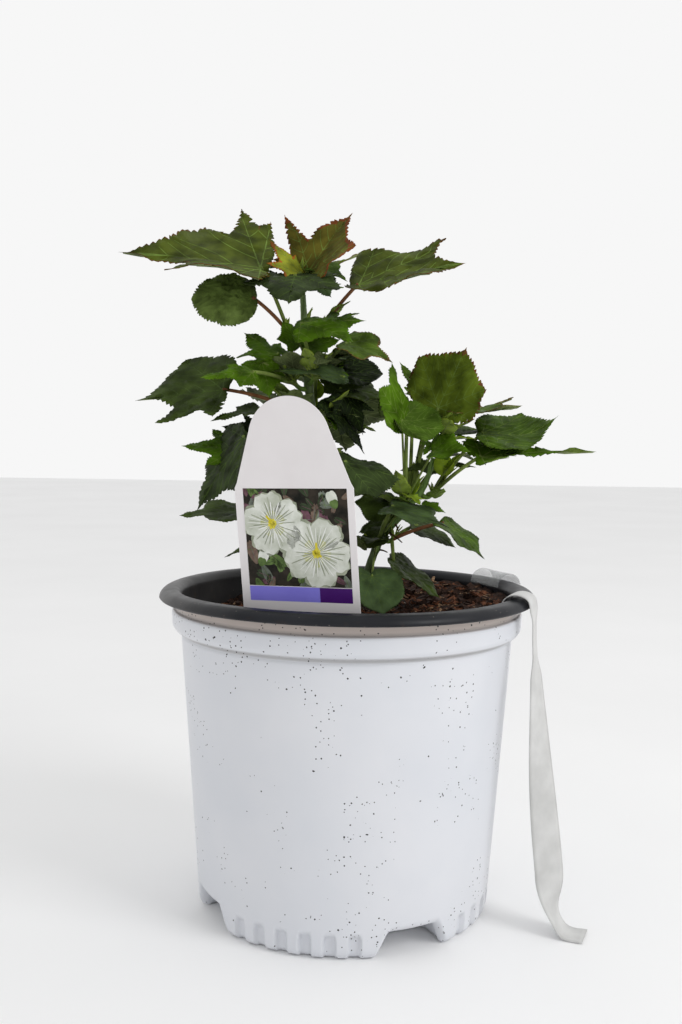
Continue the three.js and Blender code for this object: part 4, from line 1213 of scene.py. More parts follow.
# %% Shapes of the leaves
BLADES = {
    "lobed": [
        (0, 1), (4, 0.9), (11, 0.78), (20, 0.64), (29, 0.50), (37, 0.60), (49, 0.76), (58, 0.57),
        (70, 0.44), (79, 0.47), (90, 0.52), (104, 0.30), (180, 0.06),
    ],
    "broad": [
        (0, 1), (7, 0.89), (17, 0.79), (30, 0.70), (39, 0.76), (50, 0.84), (60, 0.72), (74, 0.58),
        (82, 0.60), (92, 0.62), (108, 0.38), (180, 0.07),
    ],
    "long": [
        (0, 1), (4, 0.88), (9, 0.72), (18, 0.55), (28, 0.45), (36, 0.48), (46, 0.54), (58, 0.40),
        (72, 0.33), (88, 0.37), (106, 0.22), (180, 0.06),
    ],
    "kite": [
        (0, 1), (4, 0.87), (9, 0.80), (17, 0.76), (26, 0.745), (36, 0.735), (44, 0.72), (50, 0.70),
        (55, 0.63), (58, 0.52), (66, 0.62), (75, 0.88), (79, 0.70), (83, 0.585), (87, 0.64), (91, 0.71),
        (97, 0.48), (108, 0.26), (180, 0.06),
    ],
    "cleft": [
        (0, 1), (5, 0.88), (13, 0.80), (23, 0.64), (32, 0.44), (42, 0.58), (54, 0.88), (62, 0.64),
        (76, 0.42), (86, 0.48), (98, 0.58), (112, 0.32), (180, 0.06),
    ],
    "twin": [
        (0, 1), (5, 0.85), (17, 0.77), (26, 0.87), (34, 1.0), (38, 0.86), (50, 0.70), (64, 0.60),
        (78, 0.58), (91, 0.58), (100, 0.42), (120, 0.2), (180, 0.07),
    ],
    "full": [
        (0, 1), (6, 0.92), (15, 0.86), (25, 0.83), (37, 0.83), (49, 0.87), (59, 0.80), (70, 0.74),
        (84, 0.64), (96, 0.50), (112, 0.30), (180, 0.08),
    ],
    "sliver": [
        (0, 1), (3, 0.78), (6, 0.60), (13, 0.42), (24, 0.32), (46, 0.27), (76, 0.22), (96, 0.20),
        (116, 0.16), (180, 0.05),
    ],
    "tail": [
        (0, 1), (3, 0.78), (6, 0.59), (13, 0.41), (24, 0.33), (34, 0.36), (46, 0.42), (58, 0.34),
        (76, 0.30), (86, 0.31), (96, 0.34), (116, 0.28), (140, 0.14), (180, 0.05),
    ],
    "wing": [
        (0, 1), (4, 0.80), (9, 0.68), (18, 0.59), (27, 0.54), (36, 0.66), (43, 0.82), (52, 0.62),
        (70, 0.45), (79, 0.47), (90, 0.52), (104, 0.30), (180, 0.06),
    ],
    "ledge": [
        (0, 1), (5, 0.86), (14, 0.82), (24, 0.83), (33, 0.83), (39, 0.74), (44, 0.60), (54, 0.46),
        (70, 0.34), (90, 0.27), (120, 0.2), (180, 0.07),
    ],
    "shield": [
        (0, 1), (16, 0.98), (34, 0.93), (54, 0.80), (72, 0.62), (90, 0.44), (112, 0.22), (180, 0.08),
    ],
    "round": [(0, 1), (25, 0.93), (50, 0.88), (80, 0.78), (108, 0.58), (135, 0.3), (180, 0.1)],
    "young": [(0, 1), (22, 0.6), (60, 0.4), (110, 0.2), (180, 0.1)],
    "slip": [(0, 1), (12, 0.56), (50, 0.2), (110, 0.1), (180, 0.08)],
}
VEINS = {
    # angles of the main veins in degrees
    "lobed": (0, 49, 88), "broad": (0, 49, 88), "long": (0, 45, 86), "kite": (0, 74, 91),
    "cleft": (0, 54, 96), "twin": (0, 34, 88), "wing": (0, 43, 88), "ledge": (0, 30, 75),
    "sliver": (0, 40, 90), "full": (0, 49, 84), "tail": (0, 45, 94), "shield": (0, 34, 66),
    "round": (0, 36, 72, 104), "young": (0,), "slip": (0,),
}
CORNERS = {
    # angles at which the edge turns sharply, for shapes with more than tip and stalk
    "lobed": (0, 29, 49, 70, 90, 180), "broad": (0, 30, 50, 74, 92, 180), "long": (0, 28, 46, 72, 88, 180),
    "kite": (0, 58, 75, 83, 91, 180), "cleft": (0, 32, 54, 76, 98, 180), "twin": (0, 17, 34, 91, 180),
    "full": (0, 49, 180), "wing": (0, 27, 43, 70, 90, 180), "tail": (0, 24, 46, 76, 96, 180),
}
TIP_AND_STALK = (0, 180)
TIPS = (0, 34, 43, 46, 49, 50, 54, 75, 88, 90, 91, 92, 96, 98)       # where a lobe may end in a point
BLUNT = ("shield", "round", "young", "slip")
print("leaf shapes:", list(BLADES))

# %% [markdown]
# ## Teeth
# The saw edge leans towards the nearest tip, and dies away at the tip and at the stalk. A
# picture could only paint it, so every tooth is three points of the outline. Their heights are
# random, dealt from the seed of the mass, which keeps each leaf the same in every run.

# %% Edge with teeth
WOBBLE = 0.05                    # how far a corner may stray, as a share of its distance
TOOTH_PITCH = 0.064              # spacing of the teeth, for each millimetre of length
TOOTH_SIZE = 0.50                # height of a tooth, as a share of the spacing
RISING_TOOTH = ((0.0, 0.0), (0.45, 0.4), (0.86, 1.0))        # leans towards the end of its line
FALLING_TOOTH = ((0.0, 0.0), (0.14, 1.0), (0.55, 0.4))       # leans towards its start


def unit(degrees):
    return np.array([math.cos(math.radians(degrees)), math.sin(math.radians(degrees))])


def curve_through(part, length):
    return Path(spline([(*p, 0) for p in np.array(part) * length], 120))


def edge_between(part, length, pitch, chance, pointed):
    """The curve of the edge through one part of an outline, and how many teeth it carries."""
    spots = []
    for degrees, share in part:
        wobble = 1 + (WOBBLE * (chance.random() - 0.5) if 0 < degrees < 180 else 0)
        spots.append(share * wobble * unit(degrees))
    if len(spots) == 2:
        step = spots[1] - spots[0]
        spots.insert(1, (spots[0] + spots[1]) / 2 + 0.05 * np.array([-step[1], step[0]]))
    line = curve_through(spots, length)
    count = max(2, round(line.length / pitch))
    if pointed:
        near_tip = spots[0] + 0.55 * (spots[1] - spots[0])
        spots.insert(1, near_tip * [1, 0.45])
        line = curve_through(spots, length)
    return line, count


def half_outline(shape, length, chance):
    """One half of the edge from the tip back to the stalk, as (points, tooth heights)."""
    spots, teeth = [], []
    outline = BLADES[shape]
    stops = CORNERS.get(shape, TIP_AND_STALK)
    corners = [i for i, (degrees, _) in enumerate(outline) if degrees in stops]
    pitch = float(np.clip(TOOTH_PITCH * length, 1.3, 4.6))
    for first, last in zip(corners, corners[1:]):
        pointed = first == 0 and shape not in BLUNT
        line, count = edge_between(outline[first:last + 1], length, pitch, chance, pointed)
        rising = outline[last][0] in TIPS
        for k in range(count):
            from_tip = (count - 1 - k) if rising else k
            calm = min(1.0, 0.22 + 0.28 * from_tip) if count > 2 else 1.0
            size = TOOTH_SIZE * calm * pitch * (0.4 + 1.2 * chance.random())
            size *= 0.35 if outline[last][0] == 180 and k > count * 0.6 else 1
            size *= 0.2 if shape == "slip" else 1
            for where, height in (RISING_TOOTH if rising else FALLING_TOOTH):
                share = (k + where) / count
                if first == 0 and k == 0:
                    height *= 0.15
                spots.append(line.at(share)[:2])
                ahead = line.along(share)[:2]
                tooth = size * height if first else min(size * height, 0.30 * abs(spots[-1][1]))
                teeth.append(tooth * np.array([-ahead[1], ahead[0]]))
    spots.append(np.array([-outline[-1][1] * length, 0.0]))
    teeth.append(np.zeros(2))
    return np.array(spots), np.array(teeth)


def leaf_outline(shape, length, chance, left_shape=None):
    """The whole edge, anticlockwise from the tip, with and without its teeth."""
    left, left_teeth = half_outline(left_shape or shape, length, chance)
    right, right_teeth = half_outline(shape, length, chance)
    flip = np.array([1, -1])
    smooth = np.concatenate([left, (right * flip)[1:-1][::-1]])
    toothed = np.concatenate([left + left_teeth, ((right + right_teeth) * flip)[1:-1][::-1]])
    return smooth, toothed


sample_edge = leaf_outline("lobed", 40, np.random.default_rng(1))[0]
print("points round a lobed leaf:", len(sample_edge))

# %% [markdown]
# ## Veins
# Each lobe has a main vein from the stalk's joint to its tip, and side veins leave it at about
# fifty degrees and curve forwards. A side vein stops near the edge, or where it meets the
# country of the next lobe's vein. The skin between two side veins swells a little.


# %% Draw the veins
SIDE_ANGLE = 52                  # degrees between a side vein and its main vein
SIDE_BEND = 0.035                # how far a side vein turns forwards at each step
VEIN_STEPS = 60
OUTERMOST = 150                  # degrees at which the last vein's country ends


def reach_of(smooth):
    """How far the edge lies from the joint, as a function of the angle."""
    turn = np.arctan2(smooth[:, 1], smooth[:, 0])
    order = np.argsort(turn)
    turn, far = turn[order], np.hypot(*smooth[order].T)
    return lambda angle: np.interp(angle, turn, far, period=2 * math.pi)


def side_vein(start, heading, bend, limit, edge, step):
    """A vein from a point, turning slowly, until it nears the edge or passes a limit angle."""
    spot, line = start.copy(), [start.copy()]
    for _ in range(VEIN_STEPS):
        spot = spot + step * np.array([math.cos(heading), math.sin(heading)])
        heading += bend
        turn = math.atan2(spot[1], spot[0])
        if np.hypot(*spot) > 0.93 * edge(turn) or not limit(turn):
            break
        line.append(spot.copy())
    return np.array(line)


def spread_evenly(line, count):
    path = Path(np.column_stack([line, np.zeros(len(line))]))
    return path.at(np.linspace(0, 1, count))[:, :2]


def vein_net(shape, length, smooth):
    """Main veins, side veins and the crests between them, as lists of 2-D lines."""
    edge = reach_of(smooth)
    angles = sorted({sign * math.radians(a) for a in VEINS[shape] for sign in (1, -1)})
    mains, sides, crests = [], [], []
    for index, turn in enumerate(angles):
        long = 0.965 * float(edge(turn))
        direction = np.array([math.cos(turn), math.sin(turn)])
        mains.append(np.linspace(0.0, long, 9)[:, None] * direction)
        if shape == "slip" or (shape == "young" and length < 12):
            continue
        midrib = abs(turn) < 0.01
        gap = max(0.15 * length, 2.6) if midrib else max(0.16 * length, 3.0)
        for sign in (1, -1):
            beside = index + sign
            last = not 0 <= beside < len(angles)
            border = sign * math.radians(OUTERMOST) if last else (turn + angles[beside]) / 2
            limit = (lambda a, b=border: a < b) if sign > 0 else (lambda a, b=border: a > b)
            heading = turn + sign * math.radians(SIDE_ANGLE)
            previous = None
            where = 0.20 * length if midrib else 0.14 * length
            while where < 0.9 * long:
                line = side_vein(direction * where, heading, -sign * SIDE_BEND, limit, edge, length / 40)
                if len(line) > 3:
                    line = spread_evenly(line, 6)
                    sides.append(line)
                    if previous is not None:
                        crests.append(((previous + line) / 2)[1:])
                    previous = line
                where += gap
    return mains, sides, crests


print("main veins, side veins and crests:", [len(lines) for lines in vein_net("lobed", 40, sample_edge)])

# %% [markdown]
# ## Bending a leaf
# A real leaf folds along its midrib, droops to its tip, and sinks at the veins and swells
# between them. Sculpting would lose its outline, so the leaf is drawn flat and one formula
# then lifts every point of it. The same formula lays the veins on the skin.

# %% Bend a leaf
LEAF_THICK = 0.42
RELIEF = 0.010                   # swelling between veins, for each millimetre of length
TINT_RELIEF = {"puckered": 0.030, "pale": 0.007, "bright": 0.012, "shaded": 0.014}
SIDE_SUNK = 0.7                  # how deep a side vein lies, as a share of a main vein's depth
TIP_CALM = 0.22                  # share of the length over which waves and relief die out


def turn_up(flat, faces):
    """Flat triangles, all turned so that they face up."""
    cross = np.cross(flat[faces[:, 1]] - flat[faces[:, 0]], flat[faces[:, 2]] - flat[faces[:, 0]])
    return np.where(cross[:, None] > 0, faces, faces[:, ::-1])


def thin_body(faces, ring, count):
    """Triangles of a thin body: its upper skin, its under skin and the wall along its edge."""
    ahead = np.roll(ring, -1)
    wall = [np.stack([ring, ring + count, ahead + count], -1), np.stack([ring, ahead + count, ahead], -1)]
    return np.concatenate([faces, faces[:, ::-1] + count, *wall])


def surface(item, flat, height):
    """Points in space from flat points in millimetres and their height above the skin."""
    along, side, up = item["frame"]
    x, y = flat[:, 0] / item["length"], flat[:, 1] / item["length"]
    margin = np.hypot(*flat.T) / item["edge"](np.arctan2(flat[:, 1], flat[:, 0]))
    lift = item["fold"] * (np.sqrt(y ** 2 + 0.0016) - 0.04) - item["droop"] * x * np.abs(x)
    lift += item["cup"] * (x ** 2 + 1.3 * y ** 2) + item["twist"] * x * y
    lift += item["curl"] * np.maximum(0, x - 0.45) ** 2
    calm = np.clip((1 - x) / TIP_CALM, 0, 1)
    lift += item["wave"] * calm * margin ** 3 * np.sin(item["phase"] + 9 * x + 2 * np.sign(y))
    rise = item["length"] * lift + height * (0.25 + 0.75 * calm)
    return item["joint"] + flat[:, :1] * along + flat[:, 1:] * side + rise[:, None] * up


print("thickness of a leaf:", LEAF_THICK, "mm")

# %% [markdown]
# ## Skins of a leaf
# The outline, the veins and the crests are joined into triangles in the flat, so that every vein
# runs along edges of the mesh. The leaf then gets an upper skin, an under skin and an edge, each
# with its own colour.


# %% Skin a leaf
def flat_leaf(item, chance):
    """Triangles of the flat leaf, with the height of each point and the edge's order."""
    length = item["length"]
    smooth, toothed = leaf_outline(item["shape"], length, chance, item.get("left"))
    item["edge"] = reach_of(smooth)
    mains, sides, crests = vein_net(item["shape"], length, smooth)
    swell = TINT_RELIEF.get(item["tint"], RELIEF) * length
    points, heights, edges = [], [], []

    def put(line, height, chain):
        first = len(points)
        points.extend(line)
        heights.extend(np.broadcast_to(height, len(line)))
        if chain:
            edges.extend((first + i, first + i + 1) for i in range(len(line) - 1))

    rim = len(toothed)
    put(toothed, swell * 0.5 * np.sin(np.arange(rim) * 0.55 + item["phase"]), True)
    edges.append((rim - 1, 0))
    for line in mains:
        put(line, -swell, True)
    for line in sides:
        put(line, SIDE_SUNK * -swell, True)
    for line in crests:
        put(line, swell, False)
    flat, _, faces, origins, _, _ = delaunay_2d_cdt([Vector(p) for p in points], edges, [], 1, 1e-4)
    height = np.array([heights[ids[0]] if ids else 0.0 for ids in origins])
    place = np.array([tuple(p) for p in flat])
    number = {origin: i for i, ids in enumerate(origins) for origin in ids}
    order = np.array([number[i] for i in range(rim) if i in number])
    return place, turn_up(place, np.array(faces)), height, order, mains, sides


def leaf_skins(item, chance):
    """Points, triangles and slots of one leaf: 0 upper, 1 under, 2 upper near the edge."""
    flat, faces, height, ring, mains, sides = flat_leaf(item, chance)
    half = LEAF_THICK / 2
    upper, under = surface(item, flat, height + half), surface(item, flat, height - half)
    middle = flat[faces].mean(1)
    share = np.hypot(*middle.T) / item["edge"](np.arctan2(middle[:, 1], middle[:, 0]))
    far = np.hypot(*middle.T) / item["length"]
    start, full = EDGE_BANDS.get(item["tint"], NO_BAND)
    triangles = thin_body(faces, ring, len(flat))
    slots = np.full(len(triangles), 2)
    slots[:len(faces)] = np.where((share > start) | (far > full), 2, 0)
    slots[len(faces):2 * len(faces)] = 1
    return np.concatenate([upper, under]), triangles, slots, mains, sides


def vein_ridge(item, line, height, wide, narrow, proud, face):
    """A low roof-shaped ridge along a vein, on the upper face (1) or the under face (-1)."""
    step = np.gradient(line, axis=0)
    normal = np.stack([-step[:, 1], step[:, 0]], -1)
    normal /= np.linalg.norm(normal, axis=1, keepdims=True) + 1e-9
    half = np.linspace(wide, narrow, len(line))[:, None] / 2
    base = height + face * (LEAF_THICK / 2 - 0.02)
    low = np.full(len(line), base)
    left = surface(item, line + normal * half, low)
    right = surface(item, line - normal * half, low)
    crest = surface(item, line, np.full(len(line), base + face * proud))
    points = np.concatenate([left, crest, right])
    n = len(line)
    faces = []
    for i in (np.arange(n - 1), np.arange(n - 1) + n):
        faces += [np.stack([i, i + 1, i + 1 + n], -1), np.stack([i, i + 1 + n, i + n], -1)]
    faces = np.concatenate(faces)
    return points, faces if face < 0 else faces[:, ::-1]


print("side veins lie at", SIDE_SUNK, "of the depth of the main veins")

# %% [markdown]
# ## Tints
# Colours were read from the photograph: dark green old leaves with paler, greyer
# undersides, bright ones where light shines through, bronze and red ones at the growing tips.
# Each tint is a plain colour dealt out leaf by leaf, with only a fine mottle in it. The mottle's
# pale patches also serve as painted sheen.

# %% Leaf colours
TINTS = {
    # upper face, under face, edge
    "dark": ((0.040, 0.062, 0.012), (0.110, 0.140, 0.055), (0.045, 0.062, 0.013)),
    "green": ((0.050, 0.094, 0.009), (0.125, 0.170, 0.055), (0.055, 0.092, 0.012)),
    "bright": ((0.060, 0.125, 0.006), (0.150, 0.220, 0.040), (0.070, 0.125, 0.010)),
    "olive": ((0.070, 0.120, 0.012), (0.200, 0.240, 0.095), (0.150, 0.100, 0.030)),
    "slate": ((0.030, 0.046, 0.014), (0.125, 0.150, 0.085), (0.034, 0.048, 0.016)),
    "shaded": ((0.010, 0.017, 0.005), (0.040, 0.052, 0.026), (0.012, 0.019, 0.006)),
    "pale": ((0.044, 0.072, 0.026), (0.110, 0.150, 0.070), (0.048, 0.074, 0.028)),
    "puckered": ((0.104, 0.150, 0.036), (0.130, 0.170, 0.070), (0.075, 0.105, 0.025)),
    "red_edged": ((0.058, 0.077, 0.009), (0.150, 0.178, 0.085), (0.110, 0.055, 0.014)),
    "bronze": ((0.092, 0.132, 0.012), (0.200, 0.225, 0.095), (0.120, 0.050, 0.018)),
    "red": ((0.092, 0.082, 0.012), (0.180, 0.190, 0.075), (0.165, 0.050, 0.014)),
    "amber": ((0.225, 0.245, 0.022), (0.240, 0.270, 0.060), (0.300, 0.105, 0.018)),
    "young": ((0.200, 0.290, 0.020), (0.250, 0.340, 0.060), (0.210, 0.280, 0.025)),
}
EDGE_BANDS = {
    # share of the way to the edge, and of the length, beyond which the edge colour begins
    "red_edged": (0.965, 0.93), "bronze": (0.955, 0.90), "red": (0.90, 0.86), "amber": (0.86, 0.80),
    "olive": (0.94, 0.85),
}
NO_BAND = (2.0, 2.0)


def leaf_look(name, color, roughness):
    # A random mottle, whose pale patches also serve as painted sheen.
    deep = tuple(c * 0.55 for c in color)
    light = tuple(min(1.0, c * 1.52) for c in color)
    mottle_and_sheen = ((0.34, deep), (0.66, light))
    return clouded_look(name, color, roughness, mottle_and_sheen, (80.0, 7.0), Specular_IOR_Level=0.03)


tint_looks = {}
for tint, (upper, under, edge_color) in TINTS.items():
    tint_looks[tint] = [
        leaf_look("leaf_" + tint, upper, 0.44),
        leaf_look("leaf_" + tint + "_under", under, 0.62),
        leaf_look("leaf_" + tint + "_edge", edge_color, 0.46),
    ]
vein_looks = {
    "pale": leaf_look("vein_pale", (0.125, 0.185, 0.038), 0.5),
    "shaded": leaf_look("vein_shaded", (0.062, 0.098, 0.024), 0.5),
    "under": leaf_look("vein_under", (0.240, 0.290, 0.130), 0.55),
}
print("tints:", list(TINTS))

# %% [markdown]
# ## Grow the foliage
# A leaf gets its own waves, cup and curl from the random numbers of its mass, unless the list
# gives them. Its veins stand out on both faces, and are wider on the upper one.

# %% Grow one leaf
spur_chains, green_stalks, red_stalks = [], [], []
leaf_parts = {tint: [] for tint in TINTS}
vein_parts = {kind: [] for kind in vein_looks}
stem_nodes = {"main": [], "right": []}


def joined(parts):
    """Several (points, triangles, slots) as one."""
    points, triangles, slots, first = [], [], [], 0
    for spots, faces, where in parts:
        points.append(spots)
        triangles.append(faces + first)
        slots.append(where)
        first += len(spots)
    return np.concatenate(points), np.concatenate(triangles), np.concatenate(slots)


def grow_leaf(item, chance):
    item["frame"] = blade_frame(item)
    item["phase"] = 6.28 * chance.random()
    item.setdefault("wave", 0.020 + 0.025 * chance.random())
    loose = 0.0 if "twist" in item else 1.0
    item.setdefault("cup", 0.16 * loose * (chance.random() - 0.5))
    item.setdefault("twist", 0.3 * (chance.random() - 0.5))
    item.setdefault("curl", -0.3 * loose * chance.random())
    points, triangles, slots, mains, sides = leaf_skins(item, chance)
    leaf_parts[item["tint"]].append((points, triangles, slots))
    swell = TINT_RELIEF.get(item["tint"], RELIEF) * item["length"]
    thick = float(np.clip(0.010 * item["length"], 0.22, 0.75))
    upper = "shaded" if item["tint"] in ("dark", "slate", "shaded", "pale") else "pale"
    proud = 0.55 * thick
    for face, kind, wide in ((1, upper, 1.9), (-1, "under", 1.4)):
        width = wide * thick
        ridges = [vein_ridge(item, line, -swell, width, width * 0.4, proud, face) for line in mains]
        ridges += [
            vein_ridge(item, line, SIDE_SUNK * -swell, width * 0.6, width * 0.25, proud * 0.8, face)
            for line in sides
        ]
        vein_parts[kind] += [(spots, faces, np.zeros(len(faces))) for spots, faces in ridges]


print("tints and kinds of vein:", len(leaf_parts), len(vein_parts))

# %% [markdown]
# ## Every mass
# A leaf's stalk leaves its shoot at three quarters of the way and meets the joint of the blade.
# Hundreds of separate leaves would be slow to handle, so leaves of one tint become one mesh, and
# veins of one kind another.

# %% Grow every mass
for mass in MASSES:
    chance = np.random.default_rng(mass["seed"])
    axis, shoot = spur_path(mass)
    end = shoot.at(1.0)
    spur_chains.append((shoot.at(np.linspace(0, 1, 12)), SPUR_RADIUS * (1 - 0.2 * np.linspace(0, 1, 12))))
    if mass["height"] != "tip":
        stem_nodes[mass["stem"]].append(mass["height"])
    placed = mass["leaves"] + mass.get("small", [])
    for item in placed:
        item["joint"] = np.array([axis[0], axis[1], item["up"]]) + towards(item["out"]) * item["reach"]
    for item in placed + young_leaves(mass, end, axis) + finer_leaves(mass, end, chance):
        up = blade_frame(item)[2]
        line = stalk_path(shoot.at(0.75), item["joint"] + up * 0.1)
        radius = THIN_STALK if item["length"] < SMALL_LEAF else STALK_RADIUS
        widths = radius * (1.15 - 0.2 * np.linspace(0, 1, len(line)))
        (red_stalks if item["stalk"] == "red" else green_stalks).append((line, widths))
        grow_leaf(item, chance)

for tint, parts in leaf_parts.items():
    if parts:
        points, triangles, slots = joined(parts)
        piece = mesh_piece(tint + "_leaves", points, triangles, tint_looks[tint], slots)
        finished(piece, "leaf")
for kind, parts in vein_parts.items():
    points, triangles, slots = joined(parts)
    finished(mesh_piece(kind + "_veins", points, triangles, [vein_looks[kind]], slots), "leaf")

# %% [markdown]
# ## Stems, side shoots and stalks
# The limb tree now makes all the bars of the plant. The two stems get bark relief; the stalks
# are smooth, yellowish green or reddish brown.

# %% Make the limbs
STEM_BARK = {
    # colours at the foot, in the middle and at the top, height of the top, relief, slot
    "main": ((0.060, 0.040, 0.022), (0.060, 0.075, 0.022), (0.130, 0.210, 0.055), 391, 0.7, "old_stem"),
    "right": ((0.075, 0.060, 0.026), (0.070, 0.120, 0.026), (0.160, 0.290, 0.050), 289, 0.5, "young_stem"),
}
for key, (foot, middle, top, high, relief, slot) in STEM_BARK.items():
    name = key + "_stem"
    look = stem_look(name + "_bark", foot, middle, top, SOIL_LEVEL, high)
    piece = limbs(name + "_bark", [stem_chain(STEMS[key], stem_nodes[key])], 24, look, relief, 420.0)
    finished(piece, slot, name)

DRY_STUBS = (
    # height on the right stem, bearing, length, fall
    (241, -40, 13.0, -6.0),
    (229, -25, 8.5, -1.0),
    (247, -70, 7.0, -5.0),
)
dry_finish = leaf_look("dried_stub", (0.075, 0.045, 0.022), 0.7)
shoot_finish = leaf_look("side_shoot_skin", (0.115, 0.190, 0.040), 0.5)
green_stalk_finish = leaf_look("stalk_green", (0.150, 0.200, 0.050), 0.48)
red_stalk_finish = leaf_look("stalk_red", (0.190, 0.085, 0.040), 0.46)
dry_chains = []
for height, bearing, long, drop in DRY_STUBS:
    root = STEMS["right"]["path"].at(share_at(STEMS["right"], height))
    end = root + towards(bearing) * long + np.array([0, 0, drop])
    guide = (root + end) / 2 + np.array([0, 0, 1.5])
    dry_chains.append((Path(bent(root, guide, end)).at(np.linspace(0, 1, 8)), np.linspace(0.8, 0.35, 8)))
finished(limbs("dried_stubs", dry_chains, 8, dry_finish), "leaf")
finished(limbs("side_shoots", spur_chains, 12, shoot_finish), "leaf")
finished(limbs("red_stalks", red_stalks, 10, red_stalk_finish), "leaf")
stalks = limbs("green_stalks", green_stalks, 10, green_stalk_finish)
finished(stalks, "leaf", *[mass["name"] for mass in MASSES])

# %% [markdown]
# ## Picture label
# A thin plastic card with a domed head and a pointed stake that goes into the mix. Its printed
# window holds a plain flower pattern made for this model, over two bare bands of purple. The
# printed areas are very thin plates laid on the card, so that their edges stay crisp.

# %% Card and its place
LABEL = {
    "y": -75.0, "x": -20.9, "foot": 130.0, "half": 35.8,
    "lean": -1.6, "ahead": 7.9, "turn": -19.0, "thick": 0.8,
}
LABEL_STAKE = 62.0               # height above the foot where the stake has widened to the card
LABEL_SHOULDER = 146.5
LABEL_DOME = 24.6                # radius of the domed head
LABEL_TOP = 196.2


def on_label(points):
    """Points of the card's own plane (right, up, out to the front) put in their place."""
    points = np.asarray(points, float)
    u, v, w = points[:, 0], points[:, 1], points[:, 2]
    back = math.radians(90 + LABEL["ahead"])
    y, z = v * math.cos(back) - w * math.sin(back), v * math.sin(back) + w * math.cos(back)
    lean = math.radians(LABEL["lean"])
    x, z = u * math.cos(lean) + z * math.sin(lean), -u * math.sin(lean) + z * math.cos(lean)
    turn = math.radians(LABEL["turn"])
    x, y = x * math.cos(turn) - y * math.sin(turn), x * math.sin(turn) + y * math.cos(turn)
    return np.stack([x + LABEL["x"], y + LABEL["y"], z + LABEL["foot"]], -1)


def plate(outline, low, high):
    """Points and triangles of a flat plate that lies on the card, from its outline."""
    count = len(outline)
    edges = [(i, (i + 1) % count) for i in range(count)]
    flat, _, faces, origins, _, _ = delaunay_2d_cdt([Vector(p) for p in outline], edges, [], 1, 1e-5)
    flat = np.array([tuple(p) for p in flat])
    number = {ids[0]: i for i, ids in enumerate(origins) if ids}
    ring = np.array([number[i] for i in range(count) if i in number])
    front, rear = (np.column_stack([flat, np.full(len(flat), level)]) for level in (high, low))
    triangles = thin_body(turn_up(flat, np.array(faces)), ring, len(flat))
    return on_label(np.concatenate([front, rear])), triangles


def label_outline():
    half = LABEL["half"]
    right = [(8, 32), (half, LABEL_STAKE), (half, LABEL_SHOULDER - 2), (half - 1.6, LABEL_SHOULDER + 1)]
    left = [(-x, y) for x, y in reversed(right)]
    turns = np.radians(np.linspace(14, 166, 40))
    middle = LABEL_TOP - LABEL_DOME
    dome = [(LABEL_DOME * math.cos(a) - 0.6, middle + LABEL_DOME * math.sin(a)) for a in turns]
    return [(-1.5, 0), (1.5, 0)] + right + dome + left


def print_look(name, deep, light, scale):
    stops = ((0.36, deep), (0.66, light))
    return clouded_look(name, deep, 0.32, stops, (scale, 5.0, 0.6), Specular_IOR_Level=0.12)


CARD_WHITE = (0.82, 0.785, 0.79)
CARD_STOPS = ((0.3, (0.80, 0.765, 0.77)), (0.7, (0.84, 0.81, 0.815)))
CARD_BUMPS = ((30.0, 1.0), 0.2, 0.0006)
label_finish = clouded_look(
    "label_card", CARD_WHITE, 0.34, CARD_STOPS, (40.0,), CARD_BUMPS, Specular_IOR_Level=0.4,
)
half_thick = LABEL["thick"] / 2
card_points, card_faces = plate(label_outline(), -half_thick, half_thick)
card = mesh_piece("picture_label_card", card_points, card_faces, [label_finish], smooth=False)
finished(card, "label_card", "picture_label")

# %% [markdown]
# ## Petals and inks
# The pattern on the card is a made-up spray, built from one petal shape at many sizes. A picture
# file could be laid on the card instead, but flat plates stay crisp when seen close, and need
# nothing but this script.

# %% Petals and inks
WINDOW = (-30.8, 87.6, 31.8, 144.3)      # left, bottom, right, top
BAND = (-30.8, 78.6, 31.8, 87.2)
BAND_SPLIT = 12.3
PRINT = 0.05                             # thickness of one printed layer


def box_outline(left, bottom, right, top):
    return [(left, bottom), (right, bottom), (right, top), (left, top)]


def petal(centre, turn, length, width, frill=0.0, phase=0.0):
    """A rounded petal with a shallow notch and frills at its end, kept inside the window."""
    angle = np.linspace(0, 2 * math.pi, 36 if frill else 20, endpoint=False)
    along = length * (0.5 - 0.5 * np.cos(angle)) - 0.08 * length * np.exp(-((angle - math.pi) / 0.3) ** 2)
    across = width / 2 * np.sin(angle) * (0.55 + 0.45 * (0.5 - 0.5 * np.cos(angle)))
    ruffle = 1 + frill * np.sin(11 * angle + phase) * np.exp(-((angle - math.pi) / 1.4) ** 2)
    along, across = along * ruffle, across * ruffle
    x = centre[0] + along * math.cos(turn) - across * math.sin(turn)
    y = centre[1] + along * math.sin(turn) + across * math.cos(turn)
    x = np.clip(x, WINDOW[0], WINDOW[2])
    y = np.clip(y, WINDOW[1], WINDOW[3])
    return list(zip(x, y))


INKS = {
    # deep colour, light colour, scale of the mottle
    "ground": ((0.006, 0.007, 0.005), (0.040, 0.032, 0.024), 130.0),
    "petal": ((0.50, 0.53, 0.44), (0.82, 0.84, 0.78), 70.0),
    "petal_shade": ((0.26, 0.29, 0.21), (0.44, 0.47, 0.36), 120.0),
    "petal_light": ((0.72, 0.74, 0.68), (0.90, 0.91, 0.88), 120.0),
    "petal_glow": ((0.46, 0.48, 0.16), (0.62, 0.63, 0.32), 150.0),
    "heart": ((0.60, 0.50, 0.02), (0.78, 0.70, 0.10), 300.0),
    "lilac": ((0.240, 0.215, 0.780), (0.265, 0.240, 0.820), 60.0),
    "purple": ((0.062, 0.010, 0.150), (0.072, 0.014, 0.170), 60.0),
}
LEAF_INKS = {
    "green": (0.150, 0.240, 0.070), "dark": (0.055, 0.080, 0.040), "purple": (0.200, 0.095, 0.125),
    "brown": (0.230, 0.160, 0.120), "grey": (0.210, 0.240, 0.195),
}
